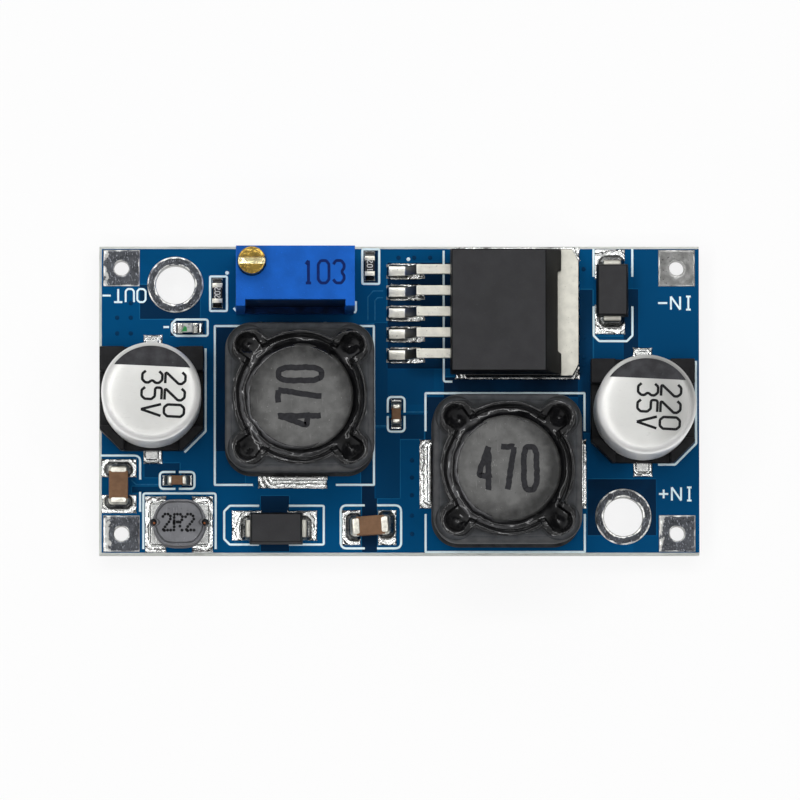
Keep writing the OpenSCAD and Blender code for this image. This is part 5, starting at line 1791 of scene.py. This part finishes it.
# The winding's depth under its CAD ring's skin, its shading angle, and how square a flange is
WOUND_IN, WIRE_SHARP, FLANGE_EASE = 0.15, 60.0, 16


def flange_reach(half, flat, notch=0.3):
    """How far a round flange with two flats and two wire notches reaches in each direction."""
    sides = half**-FLANGE_EASE + (np.abs(np.sin(TURN)) / flat) ** FLANGE_EASE
    plain = sides ** (-1 / FLANGE_EASE)
    aside = notch**2 - (half * np.sin(TURN)) ** 2
    cut = half * np.abs(np.cos(TURN)) - np.sqrt(np.maximum(aside, 0))
    return np.where(aside > 0, np.minimum(plain, cut), plain)


class MODULE_OT_filter_coil(bpy.types.Operator):
    """Small drum coil with its wire turns and dot-printed value"""

    bl_idname = "module.filter_coil"
    bl_label = "Filter coil"

    def execute(self, context):
        self.drum()
        softened("filter_coil_terminals", 0.05, "solder")
        x, y, top = middle("filter_coil_core")
        name = "filter_coil_value"
        paths = [shaken(p, 0.06) for p in stroke_paths("2R2", 1.3, (x - 0.1, y, top + 0.003), 0, 0.76)]
        values = {"Pitch": 0.25 * MM, "Radius": 0.125 * MM, "Thickness": 0.01 * MM}
        grown(name, paths, dot_tree, values, "drum_print")
        node, name = "filter_coil_winding", "filter_coil_turns"
        lowest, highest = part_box(node)
        wire = size("wire")
        radius = (highest.x - lowest.x) / 2 / MM - wire / 2 - WOUND_IN
        tall = (highest.z - lowest.z) / MM - wire
        values = {"Turns": tall / wire, "Drum radius": radius * MM, "Wire": wire * MM, "Height": tall * MM}
        place = ((lowest.x + highest.x) / 2, (lowest.y + highest.y) / 2, lowest.z + wire * MM / 2)
        grown(
            name, [], lambda finish: winding_tree(finish, place), values, "copper_wire",
            stands_for=(node,), sharp=WIRE_SHARP,
        )
        return {"FINISHED"}

    def drum(self):
        """Ferrite drum: two flanges with flats at front and rear and a notch at each end for the wire."""
        node = "filter_coil_core"
        lowest, highest = corners(node)
        x, y, top = middle(node)
        low, thick = lowest[2], FLANGE
        under = flange_reach((highest[0] - lowest[0]) / 2, (highest[1] - lowest[1]) / 2)
        upper = flange_reach(UPPER_HALF, UPPER_FLAT)
        post = np.full(TURNS, DRUM_POST)
        steps = [(under - 0.08, 0.0), (under, 0.08), (under, thick - 0.05), (under - 0.05, thick)]
        rings = [ring_at(reach, low + rise, (x, y)) for reach, rise in steps + [(post, thick)]]
        steps = [(post, thick), (upper - 0.05, thick), (upper, thick - 0.05), (upper, 0.1)]
        steps += [(upper - 0.03, 0.03), (upper - 0.1, 0.0)]
        # A fine groove runs round the top
        steps += [(upper - 0.15, 0.0), (upper - 0.19, 0.2), (upper - 0.25, 0.2), (upper - 0.28, 0.0)]
        steps += [(upper * share, 0.0) for share in (0.7, 0.45, 0.2)]
        rings += [ring_at(reach, top - drop, (x, y)) for reach, drop in steps]
        solid("filter_coil_drum", loft(rings), "drum_ferrite", (node,))
        # Dark plugs fill the notches as painted shadow, and the wire's ends stand beside them
        resin = [(0.26, low + 0.1), (0.29, low + 0.3), (0.29, top - 0.42), (0.2, top - 0.3)]
        wire = [(0.1, top - 0.5), (0.1, top - 0.2), (0.06, top - 0.16)]
        for end, side in (("left", -1), ("right", 1)):
            solid(end + "_notch_shadow_plug", revolve(resin, (x + side * 2.1, y), 24), "black_glue")
            solid(end + "_wire_end", revolve(wire, (x + side * 2.02, y - 0.06), 16), "copper_wire")


class MODULE_OT_plain_nodes(bpy.types.Operator):
    """Finishes of the solids that keep their CAD shape"""

    bl_idname = "module.plain_nodes"
    bl_label = "Carried-over solids"

    def execute(self, context):
        for node, held in frame["nodes"].items():
            held.data.materials.clear()
            held.data.materials.append(finish_for(SLOT_OF[node]))
        return {"FINISHED"}


# The camera: its distance, the point it looks at, how it leans off the upright, and the width of its field
VIEW_DISTANCE, VIEW_TARGET = 0.95, Vector((0.06, 0.06, 1.6)) * MM
VIEW_TILT, VIEW_LEAN = math.radians(3.65), math.radians(0.86)
FIELD, SENSOR = 64.67 * MM, 36.0
RING_LIGHT, DOME_LIGHT = 8.8, 0.55
# Light by the sine of its height: pale floor line, dark sides, soft dome and a ring lamp round the camera
LIGHT_STOPS = [
    (0.03, 1.0), (0.07, 0.05), (0.3, 0.08), (0.46, 0.25), (0.62, DOME_LIGHT), (0.85, DOME_LIGHT),
    (0.855, RING_LIGHT), (0.887, RING_LIGHT), (0.892, DOME_LIGHT), (1.0, DOME_LIGHT),
]
# The light's lean, and the floor's own white, half its size and its drop under the module, in metres
LIGHT_LEAN, FLOOR_WHITE, FLOOR_HALF, FLOOR_DROP = (-0.3, 0.6, 0.0), 0.86, 4.0, 0.00002


class MODULE_OT_stage(bpy.types.Operator):
    """Camera above the module, pale floor and a soft dome of studio light"""

    bl_idname = "module.stage"
    bl_label = "Stage"

    def execute(self, context):
        scene = context.scene
        scene.view_settings.view_transform = "Standard"
        lens = bpy.data.cameras.new("camera")
        lens.sensor_width = SENSOR
        lens.lens = SENSOR * VIEW_DISTANCE / FIELD
        lens.clip_start, lens.clip_end = 0.01, 20.0
        camera = bpy.data.objects.new("camera", lens)
        scene.collection.objects.link(camera)
        away = Vector((-math.sin(VIEW_LEAN), -math.sin(VIEW_TILT), 0))
        away.z = math.sqrt(1 - away.length_squared)
        camera.location = VIEW_TARGET + away * VIEW_DISTANCE
        across = Vector((1, 0, 0)) - away * away.x
        across.normalize()
        camera.rotation_euler = Matrix((across, away.cross(across), away)).transposed().to_euler()
        scene.camera = camera
        self.surround(scene)
        self.floor(scene)
        return {"FINISHED"}

    def surround(self, scene):
        """A soft dome overhead with a ring lamp round the camera, darker round the sides of the table."""
        world = bpy.data.worlds.new("studio_dome")
        scene.world = world
        world.use_nodes = True
        tree = world.node_tree
        tree.nodes.clear()
        toward = add(tree, "ShaderNodeTexCoord").outputs["Generated"]
        parts = add(tree, "ShaderNodeSeparateXYZ", {0: toward}).outputs
        dome = add(tree, "ShaderNodeValToRGB", {"Fac": parts["Z"]})
        while len(dome.color_ramp.elements) < len(LIGHT_STOPS):
            dome.color_ramp.elements.new(0.5)
        for element, (place, level) in zip(dome.color_ramp.elements, LIGHT_STOPS):
            element.position = place
            share = level / RING_LIGHT
            element.color = (share, share, share, 1)
        slope = add(tree, "ShaderNodeVectorMath", {0: toward, 1: LIGHT_LEAN}, operation="DOT_PRODUCT")
        sockets = {0: slope.outputs["Value"], 1: RING_LIGHT, 2: RING_LIGHT}
        lean = add(tree, "ShaderNodeMath", sockets, operation="MULTIPLY_ADD")
        light = add(tree, "ShaderNodeBackground", {"Color": dome, "Strength": lean})
        add(tree, "ShaderNodeOutputWorld", {"Surface": light})

    def floor(self, scene):
        """White sweep under the module that keeps a faint shadow."""
        half, level = FLOOR_HALF, CAD_BOX[0][2] - FLOOR_DROP
        mesh = bpy.data.meshes.new("floor")
        plane = [(-half, -half, level), (half, -half, level), (half, half, level), (-half, half, level)]
        mesh.from_pydata(plane, [], [(0, 1, 2, 3)])
        material = bpy.data.materials.new("white_sweep")
        material.use_nodes = True
        tree = material.node_tree
        tree.nodes.clear()
        matt = add(tree, "ShaderNodeBsdfDiffuse", {"Color": tone("#f3f3f3")})
        glow = add(tree, "ShaderNodeEmission", {"Color": tone("#ffffff"), "Strength": 1.0})
        path = add(tree, "ShaderNodeLightPath").outputs
        seen = path["Is Camera Ray"]
        for ray in ("Is Glossy Ray", "Is Transmission Ray"):
            seen = add(tree, "ShaderNodeMath", {0: seen, 1: path[ray]}, operation="MAXIMUM")
        share = add(tree, "ShaderNodeMath", {0: seen, 1: FLOOR_WHITE}, operation="MULTIPLY")
        both = add(tree, "ShaderNodeMixShader", {0: share, 1: matt, 2: glow})
        add(tree, "ShaderNodeOutputMaterial", {"Surface": both})
        mesh.materials.append(material)
        floor = bpy.data.objects.new("floor", mesh)
        scene.collection.objects.link(floor)


STEPS = (
    MODULE_OT_stage, MODULE_OT_plain_nodes, MODULE_OT_board, MODULE_OT_legend, MODULE_OT_labels,
    MODULE_OT_solder, MODULE_OT_trimmer, MODULE_OT_regulator, MODULE_OT_inductors,
    MODULE_OT_capacitors, MODULE_OT_diodes, MODULE_OT_chips, MODULE_OT_indicator,
    MODULE_OT_filter_coil,
)


class MODULE_PT_panel(bpy.types.Panel):
    """Lists the module's pieces, colours and sizes"""

    bl_label = "Converter module"
    bl_idname = "MODULE_PT_panel"
    bl_space_type = "VIEW_3D"
    bl_region_type = "UI"
    bl_category = "Module"

    def draw(self, context):
        for step in STEPS:
            self.layout.operator(step.bl_idname)
        for group in (context.scene.module_colours, context.scene.module_sizes):
            for key in group.bl_rna.properties.keys():
                if key not in ("rna_type", "name"):
                    self.layout.prop(group, key)


CLASSES = (ModuleColours, ModuleSizes) + STEPS + (MODULE_PT_panel,)


def register():
    for cls in CLASSES:
        bpy.utils.register_class(cls)
    bpy.types.Scene.module_colours = bpy.props.PointerProperty(type=ModuleColours)
    bpy.types.Scene.module_sizes = bpy.props.PointerProperty(type=ModuleSizes)


def unregister():
    del bpy.types.Scene.module_sizes
    del bpy.types.Scene.module_colours
    for cls in reversed(CLASSES):
        bpy.utils.unregister_class(cls)


def main():
    register()
    for step in STEPS:
        group, name = step.bl_idname.split(".")
        getattr(getattr(bpy.ops, group), name)()


if __name__ == "__main__":
    main()
